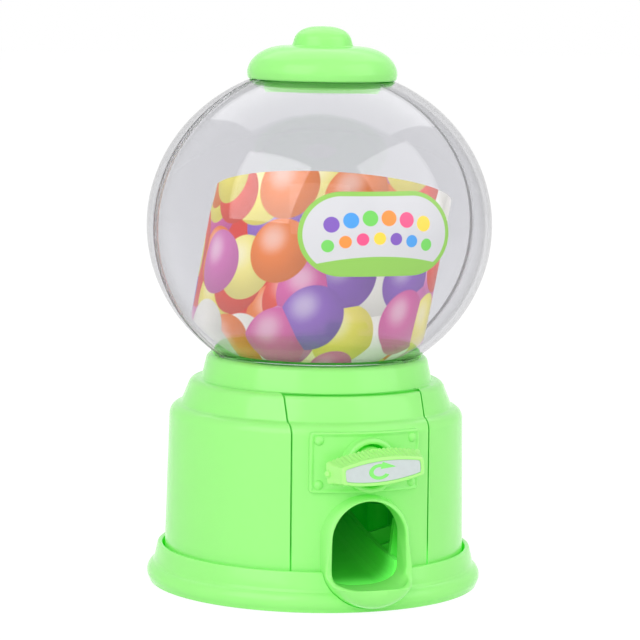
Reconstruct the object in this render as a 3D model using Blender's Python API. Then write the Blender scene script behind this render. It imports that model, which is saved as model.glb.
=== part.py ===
"""Toy gumball machine: a clear globe on a stepped plastic body, with a turning knob that works a dosing drum.

Sizes are in millimetres and become metres when a mesh is made. +Z is up, the front faces -Y, and the origin
is the centre of the underside. Every piece is its own closed solid.
"""

import math

import bmesh
import bpy
from mathutils import Matrix, Vector

MM = 0.001

# Fits and shared sizes
GAP = 0.3
RUNNING_GAP = 0.4
PILOT_GAP = 0.15
WALL = 2.0
ROUND_STEPS = 32
FAR = 100.0
TINY = 1e-6

# Stepped body: the height of its top step and the radius of its foot drive the rest
BODY_HEIGHT = 50.45
TIER2_HEIGHT = 6.05
SHOULDER_HEIGHT = 3.1
COLLAR_HEIGHT = 6.15
BODY_FOOT_RADIUS = 36.95
BODY_TAPER = 0.85
SHOULDER_ROUND = 2.9
TIER2_TAPER = 1.6
TIER2_STEP = 3.2
TIER_ROUND = 2.2
COLLAR_TAPER = 1.1
COLLAR_FILLET = 1.1
COLLAR_WALL = 1.7
PANEL_HALF_WIDTH = 17.35

TIER2_Z = BODY_HEIGHT - TIER2_HEIGHT
SHOULDER_Z = TIER2_Z - SHOULDER_HEIGHT
COLLAR_TOP_Z = BODY_HEIGHT + COLLAR_HEIGHT
BODY_TOP_RADIUS = BODY_FOOT_RADIUS - BODY_TAPER
TIER2_FOOT_RADIUS = BODY_TOP_RADIUS - SHOULDER_ROUND
TIER2_TOP_RADIUS = TIER2_FOOT_RADIUS - TIER2_TAPER
TIER1_FOOT_RADIUS = TIER2_TOP_RADIUS - TIER2_STEP
TIER1_TOP_RADIUS = TIER1_FOOT_RADIUS - COLLAR_TAPER
COLLAR_BORE_RADIUS = TIER1_TOP_RADIUS - COLLAR_WALL

# Base
BASE_HEIGHT = 9.4
BASE_FLOOR_TOP = 2.0
BASE_RIM_WALL = 1.25
BASE_FLARE = 2.5
BEAD_ROUND = 2.6
BEAD_Z = 2.4
BEAD_FOOT_INSET = 0.6
BASE_FILLET_Z = 5.3
BASE_FILLET = 0.75

BODY_FOOT_Z = BASE_FLOOR_TOP + GAP
BASE_RIM_RADIUS = BODY_FOOT_RADIUS + RUNNING_GAP + BASE_RIM_WALL
BASE_BEAD_RADIUS = BASE_RIM_RADIUS + BASE_FLARE

# Globe, an oblate shell in two halves that stands in the collar
GLOBE_RADIUS = 42.5
GLOBE_HALF_HEIGHT = 39.1
GLOBE_WALL = 1.6
GLOBE_FOOT_LENGTH = 5.0
GLOBE_FOOT_DEPTH = 4.95
NECK_RADIUS = 16.2
NECK_HEIGHT = 3.2
SEAM_TONGUE = 1.5
SEAM_LAP = 0.15

GLOBE_FOOT_RADIUS = COLLAR_BORE_RADIUS - RUNNING_GAP
GLOBE_FOOT_Z = COLLAR_TOP_Z - GLOBE_FOOT_DEPTH
GLOBE_LOW_SHARE = math.sqrt(1 - (GLOBE_FOOT_RADIUS / GLOBE_RADIUS) ** 2)
GLOBE_Z = GLOBE_FOOT_Z + GLOBE_FOOT_LENGTH + GLOBE_HALF_HEIGHT * GLOBE_LOW_SHARE
NECK_SHARE = math.sqrt(1 - (NECK_RADIUS / GLOBE_RADIUS) ** 2)
NECK_TOP_Z = GLOBE_Z + GLOBE_HALF_HEIGHT * NECK_SHARE + NECK_HEIGHT

# Lid
LID_OVERHANG = 2.1
LID_RISE = 4.4
LID_EDGE_ACROSS = 9.5
LID_EDGE_DROP = 6.7
LID_WALL = 1.7
LID_SEAT_GAP = 0.5
LID_PLUG_DEPTH = 7.0
LID_PLUG_CHAMFER = 0.5
FINIAL_RADIUS = 7.2
FINIAL_HEIGHT = 4.8
FINIAL_FULLNESS = 2.5

LID_RADIUS = NECK_RADIUS + LID_OVERHANG
LID_TOP_Z = NECK_TOP_Z + LID_RISE

# Drum and its housing, on an axis along Y
DRUM_RADIUS = 11.5
DRUM_LENGTH = 23.0
DRUM_HEADROOM = 4.15
DRUM_POCKETS = 3
POCKET_RADIUS = 6.6
POCKET_PROUD = 0.5
HOUSING_WALL = 1.5
OUTFALL_HALF_WIDTH = 10.0
OUTFALL_DROP = 6.0
INLET_RISE = 3.0

AXIS_Z = BODY_HEIGHT - DRUM_HEADROOM - DRUM_RADIUS
HOUSING_RADIUS = DRUM_RADIUS + RUNNING_GAP + HOUSING_WALL
DRUM_ROOM_HALF_LENGTH = DRUM_LENGTH / 2 + RUNNING_GAP
HOUSING_HALF_LENGTH = DRUM_ROOM_HALF_LENGTH + HOUSING_WALL

# Front plate round the knob
PLATE_HALF_WIDTH = 14.2
PLATE_HALF_HEIGHT = 7.1
PLATE_RAISE = 0.8
PLATE_INSET = 0.05
PLATE_ROOT = 8.3
PLATE_CORNER = 0.8
PLATE_RIM_WIDTH = 0.65
PLATE_RIM_HEIGHT = 0.35
RIVET_RADIUS = 1.25
RIVET_HEIGHT = 0.8
RIVET_SINK = 0.35
RIVET_INSET_X = 2.6
RIVET_INSET_Z = 1.8
RING_INNER_RADIUS = 5.15
RING_WALL = 1.4
RING_HEIGHT = 2.9

PLATE_Z = AXIS_Z + PLATE_RAISE
PLATE_RADIUS = BODY_FOOT_RADIUS - PLATE_INSET
PLATE_FRONT_Y = -PLATE_RADIUS
PLATE_BACK_Y = PLATE_FRONT_Y + PLATE_ROOT
RING_FRONT_Y = PLATE_FRONT_Y - RING_HEIGHT

# Knob and shaft
KNOB_TURN = 5.2
KNOB_DEPTH = 6.6
KNOB_STANDOFF = 0.7
KNOB_HALF_LENGTH = 10.15
KNOB_HALF_HEIGHT = 3.25
KNOB_END_HALF_HEIGHT = 1.95
KNOB_BACK_SPREAD = (1.7, 0.35, 0.6)
KNOB_BEZEL_DEPTH = 0.8
KNOB_EDGE = 0.15
KNOB_RIB_PITCH = 1.15
KNOB_RIB_DEPTH = 0.4
NUB_SIZE = (1.0, 0.75, 0.75)
NUB_REACH = 1.6
NUB_FORWARD = 1.1
HUB_GAP = 0.75
HUB_LENGTH = 5.2
SHAFT_SQUARE = 4.4
SHAFT_SHOULDER = 0.09
SHAFT_PILOT_DEPTH = 8.0
STICKER_THICKNESS = 0.25
STICKER_SINK = 0.2
STICKER_BORDER = (0.75, 0.75, 0.45)
STICKER_CLEARANCE = 0.12

KNOB_BACK_Y = RING_FRONT_Y - KNOB_STANDOFF
KNOB_FRONT_Y = KNOB_BACK_Y - KNOB_DEPTH
HUB_RADIUS = RING_INNER_RADIUS - HUB_GAP
SHAFT_RADIUS = SHAFT_SQUARE / math.sqrt(2) + SHAFT_SHOULDER
JOURNAL_RADIUS = SHAFT_SQUARE / 2
SHAFT_REAR_Y = HOUSING_HALF_LENGTH + RUNNING_GAP
STICKER_SEAT_Y = KNOB_FRONT_Y + STICKER_THICKNESS + STICKER_SINK

# Mouth and tray
MOUTH_HALF_WIDTH = 9.2
MOUTH_DROP = 8.65
MOUTH_FLOOR_Z = 5.2
MOUTH_CORNER = 5.4
MOUTH_RIM = 1.7
MOUTH_BEVEL = 0.8
MOUTH_PROUD = 2.0
MOUTH_DEPTH = 4.45
TRAY_ROOT = 1.5
TRAY_LAP = 0.8
TRAY_REACH = 9.6
TRAY_FULLNESS = 3.6
TRAY_LIP_BACK_Z = 10.2
TRAY_LIP_FRONT_Z = 6.4
TRAY_LIP_RUN = 5.6
TRAY_BOTTOM_Z = 1.0
TRAY_WALL = 1.3
TRAY_HOLLOW_LAP = 0.4

MOUTH_TOP_Z = AXIS_Z - MOUTH_DROP
MOUTH_ARCH_Z = MOUTH_TOP_Z - MOUTH_HALF_WIDTH
MOUTH_FRONT_Y = -BODY_FOOT_RADIUS - MOUTH_PROUD
MOUTH_BACK_Y = MOUTH_FRONT_Y + MOUTH_DEPTH

# Hopper, screwed up against the bosses under the top step together with the housing
HOPPER_BOSS_DEPTH = 0.55
HOPPER_SIDE_GAP = 0.6
HOPPER_FLANGE = 1.6
HOPPER_WALL = 1.8
HOPPER_LIP = 1.4
HOPPER_BREAK_RADIUS = 16.0
HOPPER_FALL = (0.6, 2.1, 3.3, 4.1)
HOPPER_NECK_DROP = 1.3
OUTLET_RADIUS = 7.6
OUTLET_WALL = 1.7
OUTLET_FUNNEL = 1.2
OUTLET_RISE = 5.0

HOPPER_RIM_Z = GLOBE_FOOT_Z - GAP
HOPPER_RADIUS = COLLAR_BORE_RADIUS - RUNNING_GAP
HOPPER_FLANGE_RADIUS = TIER2_TOP_RADIUS - WALL - HOPPER_SIDE_GAP
HOPPER_FLANGE_TOP = BODY_HEIGHT - WALL - HOPPER_BOSS_DEPTH - GAP
HOUSING_PLATE_TOP = HOPPER_FLANGE_TOP - HOPPER_FLANGE - GAP
HOUSING_PLATE_LOW = HOUSING_PLATE_TOP - HOPPER_FLANGE

# Chute
CHUTE_SIDE = 1.1
CHUTE_WALL = 1.4
CHUTE_BEND = 4.5
CHUTE_FRONT_GAP = 1.9
CHUTE_REAR_GAP = 1.6
CHUTE_FLOOR_DROP = 0.3
CHUTE_SLOPE = 0.06
CHUTE_CURVE = 0.0034
CHUTE_SIDE_HEIGHT = 5.6
CHUTE_END_WALL = 1.6
CHUTE_END_HEIGHT = 6.2
CHUTE_LAP = 0.7
EAR_DEPTH = 8.95
EAR_WALL = 1.6
EAR_REACH = 3.4
RIB_OFFSETS = (13.4, 21.9)
RIB_WALL = 1.4
RIB_REACH = 9.0

CHUTE_HALF_WIDTH = MOUTH_HALF_WIDTH + CHUTE_SIDE
CHUTE_FRONT_Y = MOUTH_BACK_Y + CHUTE_FRONT_GAP
CHUTE_REAR_Y = HOUSING_HALF_LENGTH + CHUTE_REAR_GAP
BOSS_Y = EAR_DEPTH - BODY_FOOT_RADIUS
EAR_Y = BOSS_Y + GAP

# Fasteners
SCREW_RADIUS = 1.2
SCREW_HEAD_HEIGHT = 1.5
SCREW_HEAD_EDGE = 0.6
SCREW_POINT = 1.2
SCREW_SLOT = (1.5, 0.3, 0.7)
BOSS_WALL = 1.7
SMALL_BOSS_WALL = 1.2
WEB_HALF_WALL = 1.0
WEB_INSET = 2.0
BASE_BOSS_TOP = 15.0
BASE_PILOT_TOP = 13.0
BASE_SCREW_INSET = 6.45
BASE_SCREW_ANGLES = (38.0, 142.0, 200.0, 340.0)
BASE_SCREW_LENGTH = 9.0
CUP_WALL = 1.0
CUP_GAP = 0.5
CUP_TOP = 4.2
CUP_DEPTH = 2.6
HOPPER_SCREW_INSET = 3.0
HOPPER_SCREW_ANGLES = (90.0, 205.0, 335.0)
HOPPER_SCREW_LENGTH = 5.4
HOPPER_PILOT_ROOF = 0.8
CHUTE_SCREW_INSET = 3.95
CHUTE_SCREW_Z = 17.0
CHUTE_SCREW_LENGTH = 5.6
CHUTE_PILOT_DEPTH = 4.4
SHAFT_SCREW_LENGTH = 6.5
WASHER_RADIUS = 3.6
WASHER_THICKNESS = 0.8

SCREW_HEAD_RADIUS = 2 * SCREW_RADIUS
BASE_SCREW_RADIUS = BODY_FOOT_RADIUS - BASE_SCREW_INSET
HOPPER_SCREW_RADIUS = TIER2_TOP_RADIUS - WALL - HOPPER_SCREW_INSET
CHUTE_SCREW_X = PANEL_HALF_WIDTH - CHUTE_SCREW_INSET

# Printed sleeve and label
SLEEVE_RADIUS = 28.8
SLEEVE_TOP_RISE = 8.9
SLEEVE_FOOT_RISE = 1.35
SLEEVE_TILT = 6.2
SLEEVE_SWAY = 3.0
SLEEVE_SPREAD = 112.0
SLEEVE_THICKNESS = 0.5
SLEEVE_CLEARANCE = 0.8
LABEL_HALF_WIDTH = 19.9
LABEL_HALF_HEIGHT = 10.3
LABEL_RISE = 1.6
LABEL_LIFT = 0.25
LABEL_THICKNESS = 0.3

SLEEVE_TOP_Z = GLOBE_Z + SLEEVE_TOP_RISE
SLEEVE_FOOT_Z = GLOBE_FOOT_Z + GLOBE_FOOT_LENGTH + SLEEVE_FOOT_RISE


# Materials
def plastic(name, colour, roughness=0.25, transmission=0.0):
    """A Principled material of one colour."""
    material = bpy.data.materials.new(name)
    material.use_nodes = True
    shader = material.node_tree.nodes["Principled BSDF"]
    shader.inputs["Base Color"].default_value = (*colour, 1.0)
    shader.inputs["Roughness"].default_value = roughness
    shader.inputs["Transmission Weight"].default_value = transmission
    material.diffuse_color = (*colour, 1.0)
    return material


def metal(name, colour, roughness=0.3):
    """A Principled metal of one colour."""
    material = plastic(name, colour, roughness)
    material.node_tree.nodes["Principled BSDF"].inputs["Metallic"].default_value = 1.0
    return material


# Mesh helpers
def clear_scene():
    """Removes whatever the scene starts with."""
    for obj in list(bpy.data.objects):
        bpy.data.objects.remove(obj)


def place(name, mesh_bm, material=None, smooth_angle=35.0):
    """Writes a mesh that was drawn in millimetres to a new object in metres."""
    bmesh.ops.recalc_face_normals(mesh_bm, faces=mesh_bm.faces)
    mesh = bpy.data.meshes.new(name)
    mesh_bm.to_mesh(mesh)
    mesh_bm.free()
    mesh.transform(Matrix.Scale(MM, 4))
    mesh.shade_smooth()
    mesh.set_sharp_from_angle(angle=math.radians(smooth_angle))
    obj = bpy.data.objects.new(name, mesh)
    bpy.context.scene.collection.objects.link(obj)
    if material:
        mesh.materials.append(material)
    return obj


def combine(target, other, operation):
    """Applies one Boolean to target and removes the other object."""
    modifier = target.modifiers.new(operation.lower(), "BOOLEAN")
    modifier.operation = operation
    modifier.solver = "EXACT"
    modifier.object = other
    graph = bpy.context.evaluated_depsgraph_get()
    mesh = bpy.data.meshes.new_from_object(target.evaluated_get(graph))
    target.modifiers.remove(modifier)
    old = target.data
    target.data = mesh
    bpy.data.meshes.remove(old)
    bpy.data.objects.remove(other)
    mesh.name = target.name
    return target


def cut(target, *others):
    """Takes each of the others out of target."""
    for other in others:
        combine(target, other, "DIFFERENCE")
    return target


def join(target, *others):
    """Makes target and the others one solid."""
    for other in others:
        combine(target, other, "UNION")
    return target


def keep(target, other):
    """Keeps what target and the other have in common."""
    return combine(target, other, "INTERSECT")


def finish(obj, material, smooth_angle=35.0):
    """Sets the one material of a finished solid and shades its round faces smooth."""
    obj.data.materials.clear()
    obj.data.materials.append(material)
    obj.data.shade_smooth()
    obj.data.set_sharp_from_angle(angle=math.radians(smooth_angle))
    return obj


def arc(centre, radius, start, end, steps):
    """Points of an arc in a plane, with angles in degrees and both ends included."""
    found = []
    for i in range(steps + 1):
        angle = math.radians(start + (end - start) * i / steps)
        found.append((centre[0] + radius * math.cos(angle), centre[1] + radius * math.sin(angle)))
    return found


def revolve(name, profile, steps=ROUND_STEPS):
    """Turns a closed outline of (radius, z) points about Z."""
    bm = bmesh.new()
    points = [bm.verts.new((radius, 0.0, z)) for radius, z in profile]
    edges = [bm.edges.new((points[i - 1], points[i])) for i in range(len(points))]
    bmesh.ops.spin(
        bm,
        geom=points + edges,
        cent=(0, 0, 0),
        axis=(0, 0, 1),
        angle=math.tau,
        steps=steps,
        use_merge=True,
    )
    bmesh.ops.remove_doubles(bm, verts=bm.verts, dist=1e-4)
    return place(name, bm)


def prism(name, outline, low, high, axis="Y"):
    """Extrudes a closed outline along an axis. The outline is (x, z) for Y, (x, y) for Z and (y, z) for X."""
    spread = {
        "Y": lambda a, b, t: (a, t, b),
        "Z": lambda a, b, t: (a, b, t),
        "X": lambda a, b, t: (t, a, b),
    }[axis]
    bm = bmesh.new()
    face = bm.faces.new([bm.verts.new(spread(a, b, low)) for a, b in outline])
    made = bmesh.ops.extrude_face_region(bm, geom=[face])
    moved = [v for v in made["geom"] if isinstance(v, bmesh.types.BMVert)]
    bmesh.ops.translate(bm, verts=moved, vec=Vector(spread(0, 0, high - low)))
    return place(name, bm)


def box(name, low, high):
    """A block between two corners."""
    outline = [(low[0], low[1]), (high[0], low[1]), (high[0], high[1]), (low[0], high[1])]
    return prism(name, outline, low[2], high[2], "Z")


def rod(name, radius, low, high, centre=(0.0, 0.0), axis="Y", steps=32):
    """A round bar along an axis."""
    outline = arc(centre, radius, 0, 360 * (steps - 1) / steps, steps - 1)
    return prism(name, outline, low, high, axis)


def ellipsoid(name, centre, sizes, steps=32):
    """A closed ellipsoid of three half-axes."""
    bm = bmesh.new()
    bmesh.ops.create_uvsphere(bm, u_segments=steps, v_segments=steps // 2, radius=1.0)
    bmesh.ops.scale(bm, vec=Vector(sizes), verts=bm.verts)
    bmesh.ops.translate(bm, vec=Vector(centre), verts=bm.verts)
    return place(name, bm)


def full_bowl(name, centre, sizes, fullness, steps):
    """An ellipsoid whose outline along Y is filled out: 2 is a plain ellipsoid, more is nearer to a drum."""
    bowl = ellipsoid(name, (0.0, 0.0, 0.0), (1.0, 1.0, 1.0), steps)
    for vertex in bowl.data.vertices:
        x, y, z = vertex.co / MM
        spread = max(TINY, math.hypot(x, z)) ** (2 / fullness - 1)
        along = math.copysign(abs(y) ** (2 / fullness), y)
        point = Vector((x * spread * sizes[0], along * sizes[1], z * spread * sizes[2]))
        vertex.co = (point + Vector(centre)) * MM
    return bowl


def loft(name, sections):
    """Skins a row of closed outlines that have as many points each, and caps the two ends."""
    bm = bmesh.new()
    rings = [[bm.verts.new(point) for point in section] for section in sections]
    count = len(rings[0])
    for near, far in zip(rings, rings[1:]):
        for i in range(count):
            j = (i + 1) % count
            bm.faces.new((near[i], near[j], far[j], far[i]))
    bm.faces.new(rings[0])
    bm.faces.new(rings[-1])
    return place(name, bm)


def polar(radius, angle):
    """The (x, y) place at a radius and an angle in degrees from +X."""
    return radius * math.cos(math.radians(angle)), radius * math.sin(math.radians(angle))


# Body
def body_side():
    """Outer outline of the two lower tiers from the foot upwards, ending on the top step."""
    tier_centre = (TIER2_TOP_RADIUS - TIER_ROUND, BODY_HEIGHT - TIER_ROUND)
    side = [(BODY_FOOT_RADIUS, BODY_FOOT_Z)]
    side += arc((TIER2_FOOT_RADIUS, SHOULDER_Z), SHOULDER_ROUND, 0, 84, 3)
    side.append((TIER2_FOOT_RADIUS, TIER2_Z))
    side += arc(tier_centre, TIER_ROUND, 8, 90, 3)
    return side


def body_inside():
    """Inner outline of the two lower tiers, from under the top step down to the foot."""
    return [
        (TIER2_TOP_RADIUS - WALL, BODY_HEIGHT - WALL),
        (TIER2_FOOT_RADIUS - WALL, TIER2_Z - WALL),
        (BODY_TOP_RADIUS - WALL, SHOULDER_Z),
        (BODY_FOOT_RADIUS - WALL, BODY_FOOT_Z),
    ]


def make_body_shell(material):
    """The stepped shell with its collar, open at the front for the panel."""
    outline = body_side()
    outline.append((TIER1_FOOT_RADIUS, BODY_HEIGHT))
    outline.append((TIER1_TOP_RADIUS + COLLAR_FILLET / 3, BODY_HEIGHT + COLLAR_FILLET))
    outline += arc((COLLAR_BORE_RADIUS, COLLAR_TOP_Z - COLLAR_WALL), COLLAR_WALL, 4, 88, 3)
    outline.append((COLLAR_BORE_RADIUS, BODY_HEIGHT - WALL))
    shell = revolve("body_shell", outline + body_inside())
    half = PANEL_HALF_WIDTH + GAP / 2
    cut(shell, box("panel_gap", (-half, -FAR, -FAR), (half, PLATE_BACK_Y + WALL, BODY_HEIGHT)))
    web_end = BODY_FOOT_RADIUS - WALL / 2
    for angle in BASE_SCREW_ANGLES:
        centre = polar(BASE_SCREW_RADIUS, angle)
        boss = rod("boss", SCREW_RADIUS + BOSS_WALL, CUP_TOP + GAP, BASE_BOSS_TOP, centre, "Z", 12)
        web_low = (BASE_SCREW_RADIUS, -WEB_HALF_WALL, CUP_TOP + WEB_INSET)
        web = box("web", web_low, (web_end, WEB_HALF_WALL, BASE_BOSS_TOP - WEB_INSET / 2))
        web.data.transform(Matrix.Rotation(math.radians(angle), 4, "Z"))
        join(shell, web, boss)
        cut(shell, rod("pilot", SCREW_RADIUS + PILOT_GAP, 0, BASE_PILOT_TOP, centre, "Z", 8))
    boss_top = BODY_HEIGHT - 0.7 * WALL
    pilot_top = BODY_HEIGHT - HOPPER_PILOT_ROOF
    for angle in HOPPER_SCREW_ANGLES:
        centre = polar(HOPPER_SCREW_RADIUS, angle)
        boss = rod("boss", SCREW_RADIUS + SMALL_BOSS_WALL, HOPPER_FLANGE_TOP + GAP, boss_top, centre, "Z", 12)
        join(shell, boss)
        cut(shell, rod("pilot", SCREW_RADIUS + PILOT_GAP, HOPPER_FLANGE_TOP, pilot_top, centre, "Z", 8))
    return finish(shell, material)


# Front panel
def mouth_outline():
    """The arch of the mouth, from the lower right corner round over the top."""
    across = MOUTH_HALF_WIDTH - MOUTH_CORNER
    corner_z = MOUTH_FLOOR_Z + MOUTH_CORNER
    outline = arc((across, corner_z), MOUTH_CORNER, -90, 0, 4)
    outline += arc((0.0, MOUTH_ARCH_Z), MOUTH_HALF_WIDTH, 0, 180, 14)
    outline += arc((-across, corner_z), MOUTH_CORNER, 180, 270, 4)
    return outline


def surround_outline(grow=0.0, bevel=0.0):
    """Front outline of the mouth's rim, its arch drawn in by bevel, and of the bowl that hangs under it."""
    half = MOUTH_HALF_WIDTH + MOUTH_RIM + grow
    depth = TRAY_LIP_BACK_Z - TRAY_BOTTOM_Z + grow
    outline = arc((0.0, MOUTH_ARCH_Z), half - bevel, 0, 180, 16)
    for x, z in arc((0.0, 0.0), 1.0, 180, 360, 12):
        outline.append((half * x, TRAY_LIP_BACK_Z + depth * z))
    return outline


def plate_outline(inset):
    """The plate's rounded rectangle, drawn in by inset."""
    corner = PLATE_CORNER - inset / 2
    across = PLATE_HALF_WIDTH - inset - corner
    up = PLATE_HALF_HEIGHT - inset - corner
    outline = arc((across, PLATE_Z + up), corner, 0, 90, 3)
    outline += arc((-across, PLATE_Z + up), corner, 90, 180, 3)
    outline += arc((-across, PLATE_Z - up), corner, 180, 270, 3)
    outline += arc((across, PLATE_Z - up), corner, 270, 360, 3)
    return outline


def curved_slab(name, outline, low_radius, high_radius):
    """A slab between two radii about Z, cut to an outline on the front."""
    heights = [z for _, z in outline]
    low, high = min(heights) - GAP, max(heights) + GAP
    slab = revolve(name, [(low_radius, low), (high_radius, low), (high_radius, high), (low_radius, high)])
    return keep(slab, prism("slab_limit", outline, -FAR, PLATE_BACK_Y))


def make_tray():
    """The bowl below the mouth, cut along its sloping lip."""
    root_y = MOUTH_FRONT_Y + TRAY_ROOT
    back_y = root_y + TRAY_LAP
    front_y = root_y - TRAY_REACH
    half = MOUTH_HALF_WIDTH + MOUTH_RIM
    depth = TRAY_LIP_BACK_Z - TRAY_BOTTOM_Z
    tray = full_bowl("tray", (0, root_y, TRAY_LIP_BACK_Z), (half, TRAY_REACH, depth), TRAY_FULLNESS, 20)
    kept = [
        (back_y, -FAR),
        (back_y, TRAY_LIP_BACK_Z),
        (back_y - TRAY_LIP_RUN, TRAY_LIP_FRONT_Z),
        (front_y - WALL, TRAY_LIP_FRONT_Z),
        (front_y - WALL, -FAR),
    ]
    return keep(tray, prism("under_lip", kept, -FAR, FAR, "X"))


def make_tray_hollow():
    """The room inside the bowl, in front of the mouth's rim."""
    half = MOUTH_HALF_WIDTH + MOUTH_RIM - TRAY_WALL
    centre = (0, MOUTH_FRONT_Y + TRAY_ROOT, TRAY_LIP_BACK_Z)
    sizes = (half, TRAY_REACH - TRAY_WALL, TRAY_LIP_BACK_Z - MOUTH_FLOOR_Z)
    hollow = full_bowl("tray_hollow", centre, sizes, TRAY_FULLNESS, 20)
    return keep(hollow, box("ahead", (-FAR, -FAR, -FAR), (FAR, MOUTH_FRONT_Y + TRAY_HOLLOW_LAP, FAR)))


def add_chute_bosses(panel):
    """The two bosses behind the panel that the chute's ears are screwed to."""
    edge = BODY_FOOT_RADIUS - WALL / 2
    for side in (-1, 1):
        centre = (side * CHUTE_SCREW_X, CHUTE_SCREW_Z)
        boss = rod("boss", SCREW_RADIUS + SMALL_BOSS_WALL, -FAR, BOSS_Y, centre, "Y", 12)
        keep(boss, rod("boss_limit", edge, 0, BODY_HEIGHT, axis="Z"))
        join(panel, boss)
        cut(panel, rod("pilot", SCREW_RADIUS + PILOT_GAP, BOSS_Y - CHUTE_PILOT_DEPTH, 0, centre, "Y", 10))


def make_front_panel(material):
    """The panel with its plate, rivets, ring, mouth and tray, all moulded in one."""
    top = BODY_HEIGHT - GAP
    inner = COLLAR_BORE_RADIUS + 2 * GAP
    outline = [(radius, min(z, top)) for radius, z in body_side()]
    outline += [(inner, top), (inner, BODY_HEIGHT - WALL)]
    panel = revolve("front_panel", outline + body_inside())
    half = PANEL_HALF_WIDTH - GAP / 2
    keep(panel, box("panel_keep", (-half, -FAR, 0), (half, PLATE_BACK_Y + WALL, BODY_HEIGHT)))
    rim_radius = PLATE_RADIUS + PLATE_RIM_HEIGHT
    join(panel, curved_slab("plate", plate_outline(0.0), PLATE_RADIUS - PLATE_ROOT, rim_radius))
    cut(panel, curved_slab("recess", plate_outline(PLATE_RIM_WIDTH), PLATE_RADIUS, PLATE_RADIUS + WALL))
    rivet_size = (RIVET_RADIUS, RIVET_HEIGHT + RIVET_SINK, RIVET_RADIUS)
    for x in (RIVET_INSET_X - PLATE_HALF_WIDTH, PLATE_HALF_WIDTH - RIVET_INSET_X):
        y = RIVET_SINK - math.sqrt(PLATE_RADIUS**2 - x**2)
        for z in (RIVET_INSET_Z - PLATE_HALF_HEIGHT, PLATE_HALF_HEIGHT - RIVET_INSET_Z):
            join(panel, ellipsoid("rivet", (x, y, PLATE_Z + z), rivet_size, 8))
    axis = (0.0, AXIS_Z)
    join(panel, rod("ring", RING_INNER_RADIUS + RING_WALL, PLATE_BACK_Y, RING_FRONT_Y, axis, "Y", 24))
    cut(panel, rod("ring_bore", RING_INNER_RADIUS, 0, -FAR, axis, "Y", 24))
    add_chute_bosses(panel)
    rim_rows = (
        (surround_outline(), MOUTH_BACK_Y),
        (surround_outline(), MOUTH_FRONT_Y + MOUTH_PROUD),
        (surround_outline(bevel=MOUTH_BEVEL), MOUTH_FRONT_Y),
    )
    join(panel, loft("rim", [[(x, y, z) for x, z in outline] for outline, y in rim_rows]))
    join(panel, make_tray())
    cut(panel, prism("mouth", mouth_outline(), 0, MOUTH_FRONT_Y - 2 * GAP))
    cut(panel, make_tray_hollow())
    return finish(panel, material)


# Base
def make_base(material):
    """The flared dish that the body stands in, notched at the front for the tray."""
    inside = BODY_FOOT_RADIUS + RUNNING_GAP
    outline = [(0.0, 0.0), (BASE_BEAD_RADIUS - BEAD_FOOT_INSET, 0.0)]
    outline += arc((BASE_BEAD_RADIUS - BEAD_ROUND, BEAD_Z), BEAD_ROUND, -38, 62, 4)
    outline.append((BASE_RIM_RADIUS + BASE_FILLET, BASE_FILLET_Z))
    outline.append((BASE_RIM_RADIUS + BASE_FILLET * 0.6, BASE_FILLET_Z + 1.6 * BASE_FILLET))
    outline.append((BASE_RIM_RADIUS, BASE_HEIGHT - GAP))
    outline.append((BASE_RIM_RADIUS - GAP, BASE_HEIGHT))
    outline.append((inside, BASE_HEIGHT))
    outline.append((inside, BASE_FLOOR_TOP))
    outline.append((0.0, BASE_FLOOR_TOP))
    base = revolve("base", outline)
    cut(base, prism("notch", surround_outline(GAP), -FAR, MOUTH_BACK_Y + RUNNING_GAP))
    room = SCREW_HEAD_RADIUS + CUP_GAP
    for angle in BASE_SCREW_ANGLES:
        centre = polar(BASE_SCREW_RADIUS, angle)
        join(base, rod("cup", room + CUP_WALL, BASE_FLOOR_TOP / 2, CUP_TOP, centre, "Z", 12))
        cut(base, rod("cup_room", room, -FAR, CUP_DEPTH, centre, "Z", 12))
        cut(base, rod("screw_hole", SCREW_RADIUS + GAP, 0, FAR, centre, "Z", 8))
    return finish(base, material)


# Globe and lid
def globe_z(radius):
    """Height of the globe's upper outer face at a radius."""
    return GLOBE_Z + GLOBE_HALF_HEIGHT * math.sqrt(1 - (radius / GLOBE_RADIUS) ** 2)


def globe_line(inset, steps=10):
    """One meridian (radius, z) of the shell, foot and neck included, at a depth below the outer face."""
    across, up = GLOBE_RADIUS - inset, GLOBE_HALF_HEIGHT - inset
    foot, neck = GLOBE_FOOT_RADIUS - inset, NECK_RADIUS - inset
    start, end = -math.acos(foot / across), math.acos(neck / across)
    line = [(foot, GLOBE_FOOT_Z)]
    for i in range(steps + 1):
        angle = start + (end - start) * i / steps
        line.append((across * math.cos(angle), GLOBE_Z + up * math.sin(angle)))
    return line + [(neck, NECK_TOP_Z)]


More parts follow.
